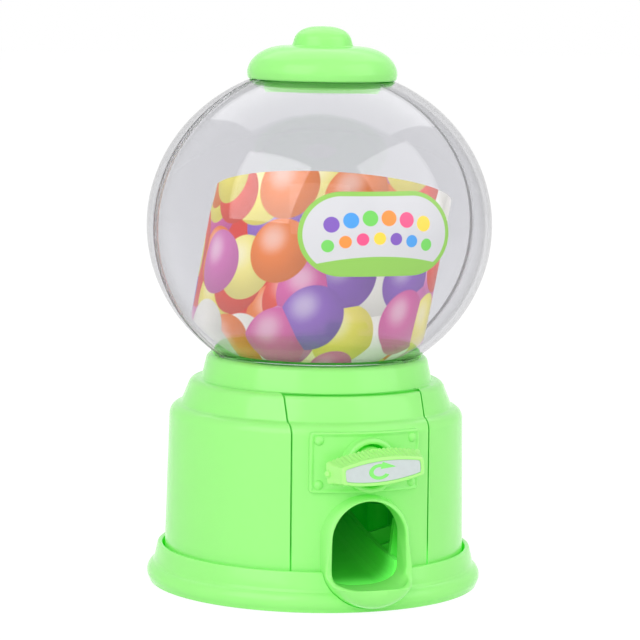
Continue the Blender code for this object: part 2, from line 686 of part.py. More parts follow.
def make_globe_half(name, front, material):
    """Half of the globe, with the stepped lip that the two halves meet in."""
    side = -1 if front else 1
    split = GLOBE_WALL / 2 + (-SEAM_LAP if front else SEAM_LAP)
    lines = [globe_line(depth) for depth in (0.0, split, GLOBE_WALL)]
    seam_y = GAP / 2
    end_y = SEAM_TONGUE + GAP if front else seam_y
    steps = 16
    bm = bmesh.new()
    count = len(lines[0])

    def point(line, i, k):
        radius, z = lines[line][i]
        angle = math.pi * k / steps
        y = end_y if k in (0, steps) else radius * math.sin(angle)
        return bm.verts.new((radius * math.cos(angle), side * y, z))

    outer = [[point(0, i, k) for i in range(count)] for k in range(steps + 1)]
    inner = [[point(2, i, k) for i in range(count)] for k in range(steps + 1)]
    for grid in (outer, inner):
        for near, far in zip(grid, grid[1:]):
            for i in range(count - 1):
                bm.faces.new((near[i], near[i + 1], far[i + 1], far[i]))
    for k in range(1, steps - 1):
        for i in (0, count - 1):
            bm.faces.new((outer[k][i], outer[k + 1][i], inner[k + 1][i], inner[k][i]))
    stepped = []
    for k, beside in ((0, 1), (steps, steps - 1)):
        middle = [point(1, i, k) for i in range(count)]
        for i in (0, count - 1):
            bm.faces.new((outer[k][i], outer[beside][i], inner[beside][i], inner[k][i], middle[i]))
        for i in range(count - 1):
            outside = bm.faces.new((outer[k][i], outer[k][i + 1], middle[i + 1], middle[i]))
            inside = bm.faces.new((middle[i], middle[i + 1], inner[k][i + 1], inner[k][i]))
            stepped.append(outside if front else inside)
    made = bmesh.ops.extrude_face_region(bm, geom=stepped)
    moved = [v for v in made["geom"] if isinstance(v, bmesh.types.BMVert)]
    shift = end_y - seam_y if front else -SEAM_TONGUE
    bmesh.ops.translate(bm, verts=moved, vec=Vector((0, shift, 0)))
    bmesh.ops.delete(bm, geom=stepped, context="FACES")
    return place(name, bm, material, 50.0)


def make_lid(material):
    """The lift-off lid: a domed cap, its finial, and a plug skirt inside the neck."""
    skirt = NECK_RADIUS + RUNNING_GAP
    plug = NECK_RADIUS - GLOBE_WALL - RUNNING_GAP
    plug_low = NECK_TOP_Z - LID_PLUG_DEPTH
    roof = LID_TOP_Z - LID_WALL
    seat = NECK_TOP_Z + GAP
    outline = [(LID_RADIUS, globe_z(LID_RADIUS) + LID_SEAT_GAP)]
    for across, up in arc((-1.0, -1.0), 1.0, 0, 90, 5):
        outline.append((LID_RADIUS + LID_EDGE_ACROSS * across, LID_TOP_Z + LID_EDGE_DROP * up))
    for across, up in arc((0.0, 0.0), 1.0, 3, 90, 6)[:-1]:
        radius = FINIAL_RADIUS * across ** (2 / FINIAL_FULLNESS)
        outline.append((radius, LID_TOP_Z + FINIAL_HEIGHT * up ** (2 / FINIAL_FULLNESS)))
    outline.append((0.0, LID_TOP_Z + FINIAL_HEIGHT))
    outline += [(0.0, roof), (plug - LID_WALL, roof), (plug - LID_WALL, plug_low)]
    outline += [(plug - LID_PLUG_CHAMFER, plug_low), (plug, plug_low + 2 * LID_PLUG_CHAMFER)]
    outline += [(plug, seat), (skirt, seat), (skirt, globe_z(skirt) + LID_SEAT_GAP)]
    return finish(revolve("lid", outline, 28), material)


# Dosing gear
def lens(half_length, half_height, end_half_height, steps):
    """A lens outline (x, z) about the axis, with blunt ends."""
    rise = half_height - end_half_height
    radius = (half_length**2 + rise**2) / (2 * rise)
    outline = []
    for sign in (1, -1):
        for i in range(steps + 1):
            x = half_length * (1 - 2 * i / steps) * sign
            z = half_height - radius + math.sqrt(radius**2 - x**2)
            outline.append((x, z * sign))
    return outline


def ribbed(outline):
    """Lowers every other point of a lens outline towards the axis, which makes the grip's ribs."""
    half = len(outline) // 2
    found = []
    for i, (x, z) in enumerate(outline):
        low = (i % half) % 2 == 1
        found.append((x, z - math.copysign(KNOB_RIB_DEPTH, z) if low else z))
    return found


def on_knob_axis(obj):
    """Turns a piece of the knob to its resting angle and puts it on the axis."""
    obj.data.transform(Matrix.Rotation(math.radians(-KNOB_TURN), 4, "Y"))
    obj.location = (0, 0, AXIS_Z * MM)
    return obj


def make_grip():
    """The knob's bar: ribbed along its long sides, with a smooth bezel at the face."""
    steps = 2 * (2 * round(KNOB_HALF_LENGTH / KNOB_RIB_PITCH) + 1)
    sizes = (KNOB_HALF_LENGTH, KNOB_HALF_HEIGHT, KNOB_END_HALF_HEIGHT)
    share = KNOB_BEZEL_DEPTH / KNOB_DEPTH
    front = lens(*sizes, steps)
    back = lens(*(size + grow for size, grow in zip(sizes, KNOB_BACK_SPREAD)), steps)
    neck = lens(*(size + grow * share for size, grow in zip(sizes, KNOB_BACK_SPREAD)), steps)
    face = lens(*(size - KNOB_EDGE for size in sizes), steps)
    bezel_y = KNOB_FRONT_Y + KNOB_BEZEL_DEPTH
    rows = (
        (ribbed(back), KNOB_BACK_Y),
        (ribbed(neck), bezel_y + KNOB_EDGE / 3),
        (neck, bezel_y),
        (front, KNOB_FRONT_Y + KNOB_EDGE),
        (face, KNOB_FRONT_Y),
    )
    return loft("knob", [[(x, y, z) for x, z in outline] for outline, y in rows])


def sticker_outline(clearance):
    """Outline of the sticker's seat, drawn in by a clearance."""
    sizes = (KNOB_HALF_LENGTH, KNOB_HALF_HEIGHT, KNOB_END_HALF_HEIGHT)
    return lens(*(size - border - clearance for size, border in zip(sizes, STICKER_BORDER)), 14)


def make_knob(material):
    """The bar knob with its hub and shaft, which carries the drum."""
    knob = make_grip()
    cut(knob, prism("sticker_seat", sticker_outline(0.0), -FAR, STICKER_SEAT_Y))
    nub_place = (-KNOB_HALF_LENGTH - NUB_REACH, KNOB_BACK_Y - NUB_FORWARD, 0.0)
    join(knob, ellipsoid("nub", nub_place, NUB_SIZE, 10))
    drum_end = DRUM_LENGTH / 2 + GAP
    hub_end = KNOB_BACK_Y + HUB_LENGTH
    half = SHAFT_SQUARE / 2
    join(knob, rod("hub", HUB_RADIUS, KNOB_BACK_Y - WALL, hub_end, steps=24))
    join(knob, rod("shaft", SHAFT_RADIUS, hub_end - WALL, -drum_end, steps=20))
    join(knob, box("square", (-half, -drum_end - WALL, -half), (half, drum_end - GAP, half)))
    join(knob, rod("journal", JOURNAL_RADIUS, drum_end - WALL, SHAFT_REAR_Y, steps=16))
    cut(knob, rod("screw_pilot", SCREW_RADIUS + PILOT_GAP, SHAFT_REAR_Y - SHAFT_PILOT_DEPTH, FAR, steps=10))
    return finish(on_knob_axis(knob), material, 30.0)


def make_knob_sticker(material):
    """The thin film in the knob's face."""
    back_y = STICKER_SEAT_Y - STICKER_CLEARANCE
    outline = sticker_outline(STICKER_CLEARANCE)
    sticker = prism("knob_sticker", outline, back_y - STICKER_THICKNESS, back_y)
    return finish(on_knob_axis(sticker), material)


def make_drum(material):
    """The dosing drum: a cylinder with scooped pockets and a square bore."""
    drum = rod("drum", DRUM_RADIUS, -DRUM_LENGTH / 2, DRUM_LENGTH / 2, steps=32)
    for i in range(DRUM_POCKETS):
        x, z = polar(DRUM_RADIUS - POCKET_PROUD, 90 + KNOB_TURN + 360 * i / DRUM_POCKETS)
        cut(drum, ellipsoid("pocket", (x, 0, z), (POCKET_RADIUS, POCKET_RADIUS, POCKET_RADIUS), 14))
    half = SHAFT_SQUARE / 2 + GAP / 2
    cut(drum, box("bore", (-half, -DRUM_LENGTH, -half), (half, DRUM_LENGTH, half)))
    return finish(on_knob_axis(drum), material)


def make_housing(material):
    """The drum's cradle, hung under the hopper, with a bearing wall at each end."""
    axis = (0.0, AXIS_Z)
    block_top = HOUSING_PLATE_TOP - GAP
    outline = arc(axis, HOUSING_RADIUS, 180, 360, 20)
    outline += [(HOUSING_RADIUS, block_top), (-HOUSING_RADIUS, block_top)]
    housing = prism("drum_housing", outline, -HOUSING_HALF_LENGTH, HOUSING_HALF_LENGTH)
    plate = rod("plate", HOPPER_FLANGE_RADIUS, HOUSING_PLATE_LOW, HOUSING_PLATE_TOP, axis="Z", steps=28)
    join(housing, plate)
    room_half = DRUM_ROOM_HALF_LENGTH
    cut(housing, rod("drum_room", DRUM_RADIUS + RUNNING_GAP, -room_half, room_half, axis, "Y", 32))
    outfall_low = (-OUTFALL_HALF_WIDTH, -room_half, 0)
    cut(housing, box("outfall", outfall_low, (OUTFALL_HALF_WIDTH, room_half, AXIS_Z - OUTFALL_DROP)))
    inlet_radius = OUTLET_RADIUS + OUTLET_WALL + RUNNING_GAP
    cut(housing, rod("inlet", inlet_radius, AXIS_Z + INLET_RISE, FAR, axis="Z", steps=28))
    cut(housing, rod("front_bore", SHAFT_RADIUS + GAP, -FAR, 0, axis, "Y", 20))
    cut(housing, rod("rear_bore", JOURNAL_RADIUS + GAP, 0, FAR, axis, "Y", 20))
    cut_hopper_holes(housing)
    return finish(housing, material)


def cut_hopper_holes(target):
    """Clears the way for the screws that hold the hopper and the housing."""
    for angle in HOPPER_SCREW_ANGLES:
        centre = polar(HOPPER_SCREW_RADIUS, angle)
        cut(target, rod("screw_hole", SCREW_RADIUS + GAP, 0, FAR, centre, "Z", 8))


def make_hopper(material):
    """The funnel under the globe that leads into the drum's top pocket."""
    flange_low = HOPPER_FLANGE_TOP - HOPPER_FLANGE
    tube = OUTLET_RADIUS + OUTLET_WALL
    neck = HOPPER_RADIUS - HOPPER_WALL
    radii = (neck, HOPPER_BREAK_RADIUS, OUTLET_RADIUS + OUTLET_FUNNEL, OUTLET_RADIUS)
    outline = [(HOPPER_RADIUS, HOPPER_RIM_Z), (HOPPER_RADIUS - HOPPER_LIP, HOPPER_RIM_Z)]
    outline += [(radius, HOPPER_RIM_Z - fall) for radius, fall in zip(radii, HOPPER_FALL)]
    outline += [(OUTLET_RADIUS, AXIS_Z + OUTLET_RISE), (tube, AXIS_Z + OUTLET_RISE), (tube, flange_low)]
    outline += [(HOPPER_FLANGE_RADIUS, flange_low), (HOPPER_FLANGE_RADIUS, HOPPER_FLANGE_TOP)]
    outline += [(neck, HOPPER_FLANGE_TOP), (neck, BODY_HEIGHT - HOPPER_NECK_DROP)]
    outline.append((HOPPER_RADIUS, BODY_HEIGHT - HOPPER_NECK_DROP + RUNNING_GAP))
    hopper = revolve("hopper", outline, 28)
    cut(hopper, rod("saddle", DRUM_RADIUS + RUNNING_GAP, -DRUM_LENGTH, DRUM_LENGTH, (0, AXIS_Z), "Y", 32))
    cut_hopper_holes(hopper)
    return finish(hopper, material)


# Chute
def chute_floor(y):
    """Height of the trough's floor, steeper towards the rear."""
    run = y - CHUTE_FRONT_Y
    return MOUTH_FLOOR_Z - CHUTE_FLOOR_DROP + CHUTE_SLOPE * run + CHUTE_CURVE * run**2


def chute_section(y):
    """The trough's closed U outline at one place along Y, kept below the housing."""
    floor = chute_floor(y)
    low = floor - CHUTE_WALL
    side_top = min(floor + CHUTE_SIDE_HEIGHT, AXIS_Z - HOUSING_RADIUS - RUNNING_GAP)
    half = CHUTE_HALF_WIDTH
    inner = half - CHUTE_WALL
    bend = min(CHUTE_BEND, side_top - floor)
    outline = [(inner, side_top)]
    outline += arc((inner - bend, floor + bend), bend, 0, -90, 5)
    outline += arc((bend - inner, floor + bend), bend, -90, -180, 5)
    outline += [(-inner, side_top), (-half, side_top)]
    outline += arc((bend - half, low + bend), bend, 180, 270, 4)
    outline += arc((half - bend, low + bend), bend, 270, 360, 4)
    outline.append((half, side_top))
    return [(x, y, z) for x, z in outline]


def add_ear(chute, side):
    """The flat ear beside the trough, with the hole for its screw."""
    root = chute_floor(EAR_Y)
    inner_x = side * (CHUTE_HALF_WIDTH - CHUTE_LAP)
    outer_x = side * (CHUTE_SCREW_X + EAR_REACH)
    top_z = CHUTE_SCREW_Z + EAR_REACH - CHUTE_LAP
    outline = [(inner_x, root + CHUTE_WALL), (inner_x, root + CHUTE_SIDE_HEIGHT - CHUTE_LAP)]
    outline += [(side * (CHUTE_SCREW_X - EAR_REACH + CHUTE_LAP), top_z), (outer_x, top_z)]
    outline.append((outer_x, CHUTE_SCREW_Z - EAR_REACH - CHUTE_WALL))
    join(chute, prism("ear", outline, EAR_Y, EAR_Y + EAR_WALL))
    centre = (side * CHUTE_SCREW_X, CHUTE_SCREW_Z)
    cut(chute, rod("screw_hole", SCREW_RADIUS + GAP, -FAR, 0, centre, "Y", 10))


def add_rib(chute, side, y):
    """A sloping stiffener that reaches out from the trough's side."""
    root = chute_floor(y)
    inner_x = side * (CHUTE_HALF_WIDTH - CHUTE_LAP)
    outer_x = side * (CHUTE_HALF_WIDTH + RIB_REACH)
    lift = RIB_REACH * 0.3
    outline = [(inner_x, root + CHUTE_LAP), (outer_x, root + CHUTE_LAP + 1.4 * lift)]
    outline.append((outer_x, root + CHUTE_SIDE_HEIGHT - CHUTE_LAP + lift))
    outline.append((inner_x, root + CHUTE_SIDE_HEIGHT - CHUTE_LAP))
    join(chute, prism("rib", outline, y, y + RIB_WALL))


def make_chute(material):
    """The trough from under the drum to the mouth, with its ears, ribs and end wall."""
    count = 8
    step = (CHUTE_REAR_Y - CHUTE_FRONT_Y) / count
    chute = loft("chute", [chute_section(CHUTE_FRONT_Y + step * i) for i in range(count + 1)])
    floor = chute_floor(CHUTE_REAR_Y)
    half = CHUTE_HALF_WIDTH - GAP
    wall_low = (-half, CHUTE_REAR_Y - 0.75 * CHUTE_END_WALL, floor - CHUTE_LAP)
    wall_high = (half, CHUTE_REAR_Y + 0.25 * CHUTE_END_WALL, floor + CHUTE_END_HEIGHT)
    join(chute, box("end_wall", wall_low, wall_high))
    for side in (-1, 1):
        add_ear(chute, side)
        for offset in RIB_OFFSETS:
            add_rib(chute, side, CHUTE_FRONT_Y + offset)
    return finish(chute, material)


# Printed sleeve and label
def sleeve_radius(z):
    """Radius of the printed sleeve at a height: it tucks in at the globe's foot."""
    share = (z - GLOBE_Z) / (GLOBE_HALF_HEIGHT - GLOBE_WALL)
    wall = (GLOBE_RADIUS - GLOBE_WALL) * math.sqrt(max(0.0, 1 - share**2))
    return min(wall - SLEEVE_CLEARANCE, SLEEVE_RADIUS)


def sleeve_sway(z):
    """How far the roll leans over to the right above the middle of the globe."""
    share = max(0.0, z - GLOBE_Z) / (SLEEVE_TOP_RISE + SLEEVE_TILT)
    return SLEEVE_SWAY * share**2


def make_sleeve(material):
    """The printed sheet rolled inside the globe, open at the back, its top edge askew."""
    columns, rows = 18, 6
    bm = bmesh.new()

    def sheet(thickness):
        grid = []
        for i in range(columns + 1):
            angle = -SLEEVE_SPREAD + 2 * SLEEVE_SPREAD * i / columns
            height = SLEEVE_TOP_Z - SLEEVE_FOOT_Z - SLEEVE_TILT * math.sin(math.radians(angle))
            column = []
            for j in range(rows + 1):
                z = SLEEVE_FOOT_Z + height * (j / rows) ** 1.25
                x, y = polar(sleeve_radius(z) - thickness, angle - 90)
                column.append(bm.verts.new((x + sleeve_sway(z), y, z)))
            grid.append(column)
        return grid

    outer, inner = sheet(0.0), sheet(SLEEVE_THICKNESS)
    for grid in (outer, inner):
        for i in range(columns):
            for j in range(rows):
                bm.faces.new((grid[i][j], grid[i + 1][j], grid[i + 1][j + 1], grid[i][j + 1]))
    for i in range(columns):
        for j in (0, rows):
            bm.faces.new((outer[i][j], outer[i + 1][j], inner[i + 1][j], inner[i][j]))
    for j in range(rows):
        for i in (0, columns):
            bm.faces.new((outer[i][j], outer[i][j + 1], inner[i][j + 1], inner[i][j]))
    return place("printed_sleeve", bm, material, 50.0)


def label_outline(share):
    """A pill outline of arc lengths (s, t) about the label's centre, shrunk by share."""
    straight = LABEL_HALF_WIDTH - LABEL_HALF_HEIGHT
    along = [straight * (1 - i / 3) for i in range(1, 6)]
    outline = arc((straight, 0), LABEL_HALF_HEIGHT, -90, 90, 10)
    outline += [(s, LABEL_HALF_HEIGHT) for s in along]
    outline += arc((-straight, 0), LABEL_HALF_HEIGHT, 90, 270, 10)
    outline += [(-s, -LABEL_HALF_HEIGHT) for s in along]
    return [(s * share, t * share) for s, t in outline]


def on_globe(s, t, lift):
    """The point at arc lengths s round and t up from the label's centre, lifted off the globe's face."""
    middle = math.asin(LABEL_RISE / GLOBE_HALF_HEIGHT)
    rise = middle + 2 * t / (GLOBE_RADIUS + GLOBE_HALF_HEIGHT)
    across, up = GLOBE_RADIUS + lift, GLOBE_HALF_HEIGHT + lift
    x, y = polar(across * math.cos(rise), math.degrees(s / GLOBE_RADIUS) - 90)
    return x, y, GLOBE_Z + up * math.sin(rise)


def make_label(material):
    """The pill-shaped sticker on the front of the globe."""
    shares = (1.0, 0.7, 0.36)
    bm = bmesh.new()
    edges = []
    for lift in (LABEL_LIFT, LABEL_LIFT + LABEL_THICKNESS):
        rings = [[bm.verts.new(on_globe(s, t, lift)) for s, t in label_outline(share)] for share in shares]
        count = len(rings[0])
        for near, far in zip(rings, rings[1:]):
            for i in range(count):
                j = (i + 1) % count
                bm.faces.new((near[i], near[j], far[j], far[i]))
        middle = bm.verts.new(on_globe(0, 0, lift))
        for i in range(count):
            bm.faces.new((rings[-1][i], rings[-1][(i + 1) % count], middle))
        edges.append(rings[0])
    for i in range(count):
        j = (i + 1) % count
        bm.faces.new((edges[0][i], edges[0][j], edges[1][j], edges[1][i]))
    return place("globe_label", bm, material, 50.0)


# Fasteners
def make_screw(name, length, material):
    """A pan-head screw along +Z with its head's underside at zero and a cross slot in the head."""
    head = SCREW_HEAD_RADIUS
    slot_half, slot_wall, slot_depth = SCREW_SLOT
    outline = [(0.0, length), (SCREW_RADIUS * 0.4, length), (SCREW_RADIUS, length - SCREW_POINT)]
    outline += [(SCREW_RADIUS, 0.0), (head, 0.0), (head, -SCREW_HEAD_EDGE)]
    outline += [(head * 0.8, -SCREW_HEAD_HEIGHT), (0.0, -SCREW_HEAD_HEIGHT)]
    screw = revolve(name, outline, 8)
    for half_x, half_y in ((slot_half, slot_wall), (slot_wall, slot_half)):
        cut(screw, box("slot", (-half_x, -half_y, -FAR), (half_x, half_y, slot_depth - SCREW_HEAD_HEIGHT)))
    return finish(screw, material)


def make_screws(material):
    """Every screw and the shaft's washer, placed against what they hold."""
    for i, angle in enumerate(BASE_SCREW_ANGLES, 1):
        screw = make_screw(f"base_screw_{i}", BASE_SCREW_LENGTH, material)
        x, y = polar(BASE_SCREW_RADIUS, angle)
        screw.location = (x * MM, y * MM, (CUP_DEPTH - GAP) * MM)
    for i, angle in enumerate(HOPPER_SCREW_ANGLES, 1):
        screw = make_screw(f"hopper_screw_{i}", HOPPER_SCREW_LENGTH, material)
        x, y = polar(HOPPER_SCREW_RADIUS, angle)
        screw.location = (x * MM, y * MM, (HOUSING_PLATE_LOW - GAP) * MM)
    for name, x in (("chute_screw_left", -CHUTE_SCREW_X), ("chute_screw_right", CHUTE_SCREW_X)):
        screw = make_screw(name, CHUTE_SCREW_LENGTH, material)
        screw.rotation_euler = (math.radians(90), 0, 0)
        screw.location = (x * MM, (EAR_Y + EAR_WALL + GAP) * MM, CHUTE_SCREW_Z * MM)
    washer_y = SHAFT_REAR_Y + GAP
    washer = rod("shaft_washer", WASHER_RADIUS, washer_y, washer_y + WASHER_THICKNESS, steps=20)
    cut(washer, rod("washer_hole", SCREW_RADIUS + GAP, 0, FAR, steps=12))
    washer.location = (0, 0, AXIS_Z * MM)
    finish(washer, material)
    screw = make_screw("shaft_screw", SHAFT_SCREW_LENGTH, material)
    screw.rotation_euler = (math.radians(90), 0, 0)
    screw.location = (0, (washer_y + WASHER_THICKNESS + GAP) * MM, AXIS_Z * MM)


def main():
    """Builds every piece in place."""
    clear_scene()
    green = plastic("green_plastic", (0.13, 0.83, 0.12), 0.22)
    clear = plastic("clear_plastic", (0.93, 0.94, 0.95), 0.04, 1.0)
    make_base(green)
    make_body_shell(green)
    make_front_panel(green)
    make_hopper(green)
    make_housing(green)
    make_drum(plastic("white_plastic", (0.86, 0.86, 0.83), 0.35))
    make_knob(plastic("knob_green", (0.2, 0.86, 0.1), 0.3))
    make_knob_sticker(metal("silver_film", (0.78, 0.8, 0.83), 0.35))
    make_chute(green)
    make_globe_half("globe_front", True, clear)
    make_globe_half("globe_rear", False, clear)
    make_lid(green)
    make_sleeve(plastic("printed_card", (0.86, 0.34, 0.36), 0.5))
    make_label(plastic("label_film", (0.93, 0.93, 0.95), 0.35))
    make_screws(metal("zinc_steel", (0.62, 0.62, 0.6)))


main()
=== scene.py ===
"""Looks of a toy gumball machine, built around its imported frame.

Sizes are in millimetres and become metres when a mesh is made. +Z is up and the front faces -Y.
"""

import logging
import math
from dataclasses import dataclass, field
from enum import Enum
from typing import Callable, Iterable, Sequence

import bmesh
import bpy
from mathutils import Matrix, Vector

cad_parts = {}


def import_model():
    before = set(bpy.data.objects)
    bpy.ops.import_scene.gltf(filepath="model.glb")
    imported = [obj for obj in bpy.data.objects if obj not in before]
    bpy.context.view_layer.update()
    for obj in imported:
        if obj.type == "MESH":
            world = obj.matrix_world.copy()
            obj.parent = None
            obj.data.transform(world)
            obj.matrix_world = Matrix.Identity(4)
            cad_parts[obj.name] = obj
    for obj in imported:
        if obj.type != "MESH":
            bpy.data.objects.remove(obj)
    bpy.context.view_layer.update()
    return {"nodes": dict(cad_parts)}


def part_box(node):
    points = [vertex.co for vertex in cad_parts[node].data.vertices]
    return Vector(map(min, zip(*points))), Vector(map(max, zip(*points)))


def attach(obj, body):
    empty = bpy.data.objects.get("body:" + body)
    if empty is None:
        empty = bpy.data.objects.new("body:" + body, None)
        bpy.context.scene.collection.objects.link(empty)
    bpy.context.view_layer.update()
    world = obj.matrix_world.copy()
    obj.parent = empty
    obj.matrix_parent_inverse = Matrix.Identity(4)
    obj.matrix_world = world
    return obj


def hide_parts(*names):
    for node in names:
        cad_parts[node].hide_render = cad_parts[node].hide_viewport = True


LOG = logging.getLogger("gumball_machine")
MM = 0.001

Point2 = tuple[float, float]
Point3 = tuple[float, float, float]
Colour = tuple[float, float, float]

SMOOTH_ANGLE = 32.0
MERGE_DISTANCE = 1e-4
FAR = 60.0
OVERCUT = 1.0
THINNEST = 0.01
NOISE_SPAN = (0.3, 0.7)
KNOB_AXIS_Z = 34.8
BASE_SCREWS = ("base_screw_1", "base_screw_2", "base_screw_3", "base_screw_4")


class Body(str, Enum):
    """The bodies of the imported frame."""

    FRAME = "frame"
    GEAR = "turning_gear"
    LID = "lid_body"


class Join(str, Enum):
    """Ways to put two solids together."""

    ADD = "UNION"
    CUT = "DIFFERENCE"
    KEEP = "INTERSECT"


# Colours
def linear_channel(value: float) -> float:
    """Turns one display channel between 0 and 1 into a linear one."""
    return value / 12.92 if value <= 0.04045 else ((value + 0.055) / 1.055) ** 2.4


def linear(red: int, green: int, blue: int) -> Colour:
    """Turns an 8-bit display colour into the linear colour that shaders take."""
    return linear_channel(red / 255), linear_channel(green / 255), linear_channel(blue / 255)


def shaded(colour: Colour, share: float) -> Colour:
    """A darker colour, with this share of each channel."""
    return tuple(channel * share for channel in colour)


GREEN = (0.31, 0.69, 0.208)
# Painted glow: a green emission that lifts the plastic's shade, in place of light coming through thin walls.
GREEN_PAINTED_GLOW = (0.0, 0.16, 0.0)
KNOB_GREEN = (0.4, 0.72, 0.24)
# Painted shade and light inside the body: a deeper green, a faint painted glow, and a painted pool of light
# near the mouth.
INNER_PAINTED_SHADE_GREEN = (0.1, 0.72, 0.06)
DEEP_PAINTED_GLOW = (0.0, 0.018, 0.002)
FRONT_PAINTED_LIGHT = (0.12, 0.56, 0.1)
# Painted light: an emission for hidden faces of the lid's plug and the collar's bore, seen through the globe.
PAINTED_LIGHT_GLOW = (0.18, 0.48, 0.13)
CLEAR_TINT = (0.785, 0.785, 0.808)
# Painted shade for the clear shell's grazing edges.
CLEAR_EDGE_PAINTED_SHADE = (0.24, 0.24, 0.26)
SEAM_TINT = (0.9, 0.9, 0.92)
DRUM_WHITE = (0.8, 0.8, 0.77)
ZINC = (0.6, 0.6, 0.58)
SILVER = linear(200, 209, 208)
CARD_WHITE = linear(232, 232, 228)
CARD_PINK = linear(226, 120, 160)
MARK_GREEN = linear(130, 226, 110)
LABEL_WHITE = linear(199, 199, 203)
LABEL_GREEN = linear(138, 190, 84)
CANDY_GROUND = linear(224, 58, 44)
CANDY_COLOURS = (
    linear(252, 240, 140),
    linear(228, 98, 174),
    linear(242, 82, 62),
    linear(150, 102, 202),
    linear(252, 238, 110),
    linear(250, 248, 238),
    linear(222, 120, 190),
    linear(248, 132, 48),
)
DOT_COLOURS = (
    linear(122, 84, 178),
    linear(70, 150, 220),
    linear(110, 200, 90),
    linear(240, 140, 60),
    linear(230, 80, 130),
    linear(250, 205, 70),
)


# Mesh tools
def place(name: str, bm: bmesh.types.BMesh, smooth_angle: float = SMOOTH_ANGLE) -> bpy.types.Object:
    """Writes a mesh that was drawn in millimetres to a new object.

    Args:
        name: The object's name.
        bm: The mesh, which is freed.
        smooth_angle: Edges that turn by more than this many degrees stay sharp.

    Returns:
        The new object, linked to the scene.
    """
    bmesh.ops.recalc_face_normals(bm, faces=bm.faces)
    mesh = bpy.data.meshes.new(name)
    bm.to_mesh(mesh)
    bm.free()
    mesh.transform(Matrix.Scale(MM, 4))
    obj = bpy.data.objects.new(name, mesh)
    bpy.context.scene.collection.objects.link(obj)
    return smooth(obj, smooth_angle)


def smooth(obj: bpy.types.Object, smooth_angle: float = SMOOTH_ANGLE) -> bpy.types.Object:
    """Shades an object smooth, with its sharp edges kept.

    Args:
        obj: The object.
        smooth_angle: Edges that turn by more than this many degrees stay sharp.

    Returns:
        The same object.
    """
    obj.data.shade_smooth()
    obj.data.set_sharp_from_angle(angle=math.radians(smooth_angle))
    return obj


def combine(target: bpy.types.Object, other: bpy.types.Object, how: Join) -> bpy.types.Object:
    """Puts two solids together and removes the second.

    Args:
        target: The solid that is changed.
        other: The solid that is used up.
        how: What the Boolean does.

    Returns:
        The changed solid.
    """
    modifier = target.modifiers.new(how.name.lower(), "BOOLEAN")
    modifier.operation = how.value
    modifier.solver = "EXACT"
    modifier.object = other
    graph = bpy.context.evaluated_depsgraph_get()
    mesh = bpy.data.meshes.new_from_object(target.evaluated_get(graph))
    target.modifiers.remove(modifier)
    old = target.data
    target.data = mesh
    bpy.data.meshes.remove(old)
    bpy.data.objects.remove(other)
    return smooth(target)


def arc(centre: Point2, radius: float, start: float, end: float, steps: int) -> list[Point2]:
    """Points of an arc, with both ends included.

    Args:
        centre: The arc's centre.
        radius: Its radius.
        start: The first point's angle, in degrees.
        end: The last point's angle, in degrees.
        steps: The number of stretches between points.

    Returns:
        The points, in order.
    """
    turn = [math.radians(start + (end - start) * i / steps) for i in range(steps + 1)]
    return [(centre[0] + radius * math.cos(a), centre[1] + radius * math.sin(a)) for a in turn]


def circle(centre: Point2, radius: float, steps: int) -> list[Point2]:
    """Points of a full circle, each once."""
    return arc(centre, radius, 0, 360 * (steps - 1) / steps, steps - 1)


def revolve(name: str, outline: Sequence[Point2], steps: int = 144) -> bpy.types.Object:
    """Turns a closed outline about Z.

    Args:
        name: The object's name.
        outline: The outline's points, as (radius, z).
        steps: The number of stretches round the axis.

    Returns:
        The closed solid.
    """
    bm = bmesh.new()
    points = [bm.verts.new((radius, 0.0, z)) for radius, z in outline]
    edges = [bm.edges.new((points[i - 1], points[i])) for i in range(len(points))]
    bmesh.ops.spin(
        bm,
        geom=points + edges,
        cent=(0, 0, 0),
        axis=(0, 0, 1),
        angle=math.tau,
        steps=steps,
        use_merge=True,
    )
    bmesh.ops.remove_doubles(bm, verts=bm.verts, dist=MERGE_DISTANCE)
    return place(name, bm)


def skin(name: str, rows: Sequence[Sequence[Sequence[float]]], ring: bool = False) -> bpy.types.Object:
    """Skins a row of closed outlines that have as many points each.

    Args:
        name: The object's name.
        rows: The outlines, in order.
        ring: Whether the last outline joins the first. If not, both ends are capped.

    Returns:
        The closed solid.
    """
    bm = bmesh.new()
    verts = [[bm.verts.new(point) for point in row] for row in rows]
    pairs = list(zip(verts, verts[1:]))
    if ring:
        pairs.append((verts[-1], verts[0]))
    for near, far in pairs:
        bridge(bm, near, far)
    if not ring:
        bm.faces.new(verts[0])
        bm.faces.new(verts[-1])
    return place(name, bm)


def bridge(
    bm: bmesh.types.BMesh, near: Sequence[bmesh.types.BMVert], far: Sequence[bmesh.types.BMVert]
) -> None:
    """Joins two closed rows of points with faces.

    Args:
        bm: The mesh.
        near: The first row.
        far: The second row, with as many points.
    """
    count = len(near)
    for i in range(count):
        j = (i + 1) % count
        bm.faces.new((near[i], near[j], far[j], far[i]))


def prism(name: str, outline: Sequence[Point2], low: float, high: float) -> bpy.types.Object:
    """Extrudes a closed outline of (x, z) points along Y."""
    return skin(name, [[(x, y, z) for x, z in outline] for y in (low, high)])


def turned(
    name: str, profile: Sequence[Point2], axis_z: float, steps: int, ring: bool = False
) -> bpy.types.Object:
    """Turns a profile about a line along Y.

    Args:
        name: The object's name.
        profile: The profile's points, as (radius, y).
        axis_z: The line's height.
        steps: The number of stretches round the line.
        ring: Whether the profile closes on itself.

    Returns:
        The closed solid.
    """
    rows = []
    for radius, y in profile:
        rows.append([(x, y, z) for x, z in circle((0.0, axis_z), max(radius, THINNEST), steps)])
    return skin(name, rows, ring)


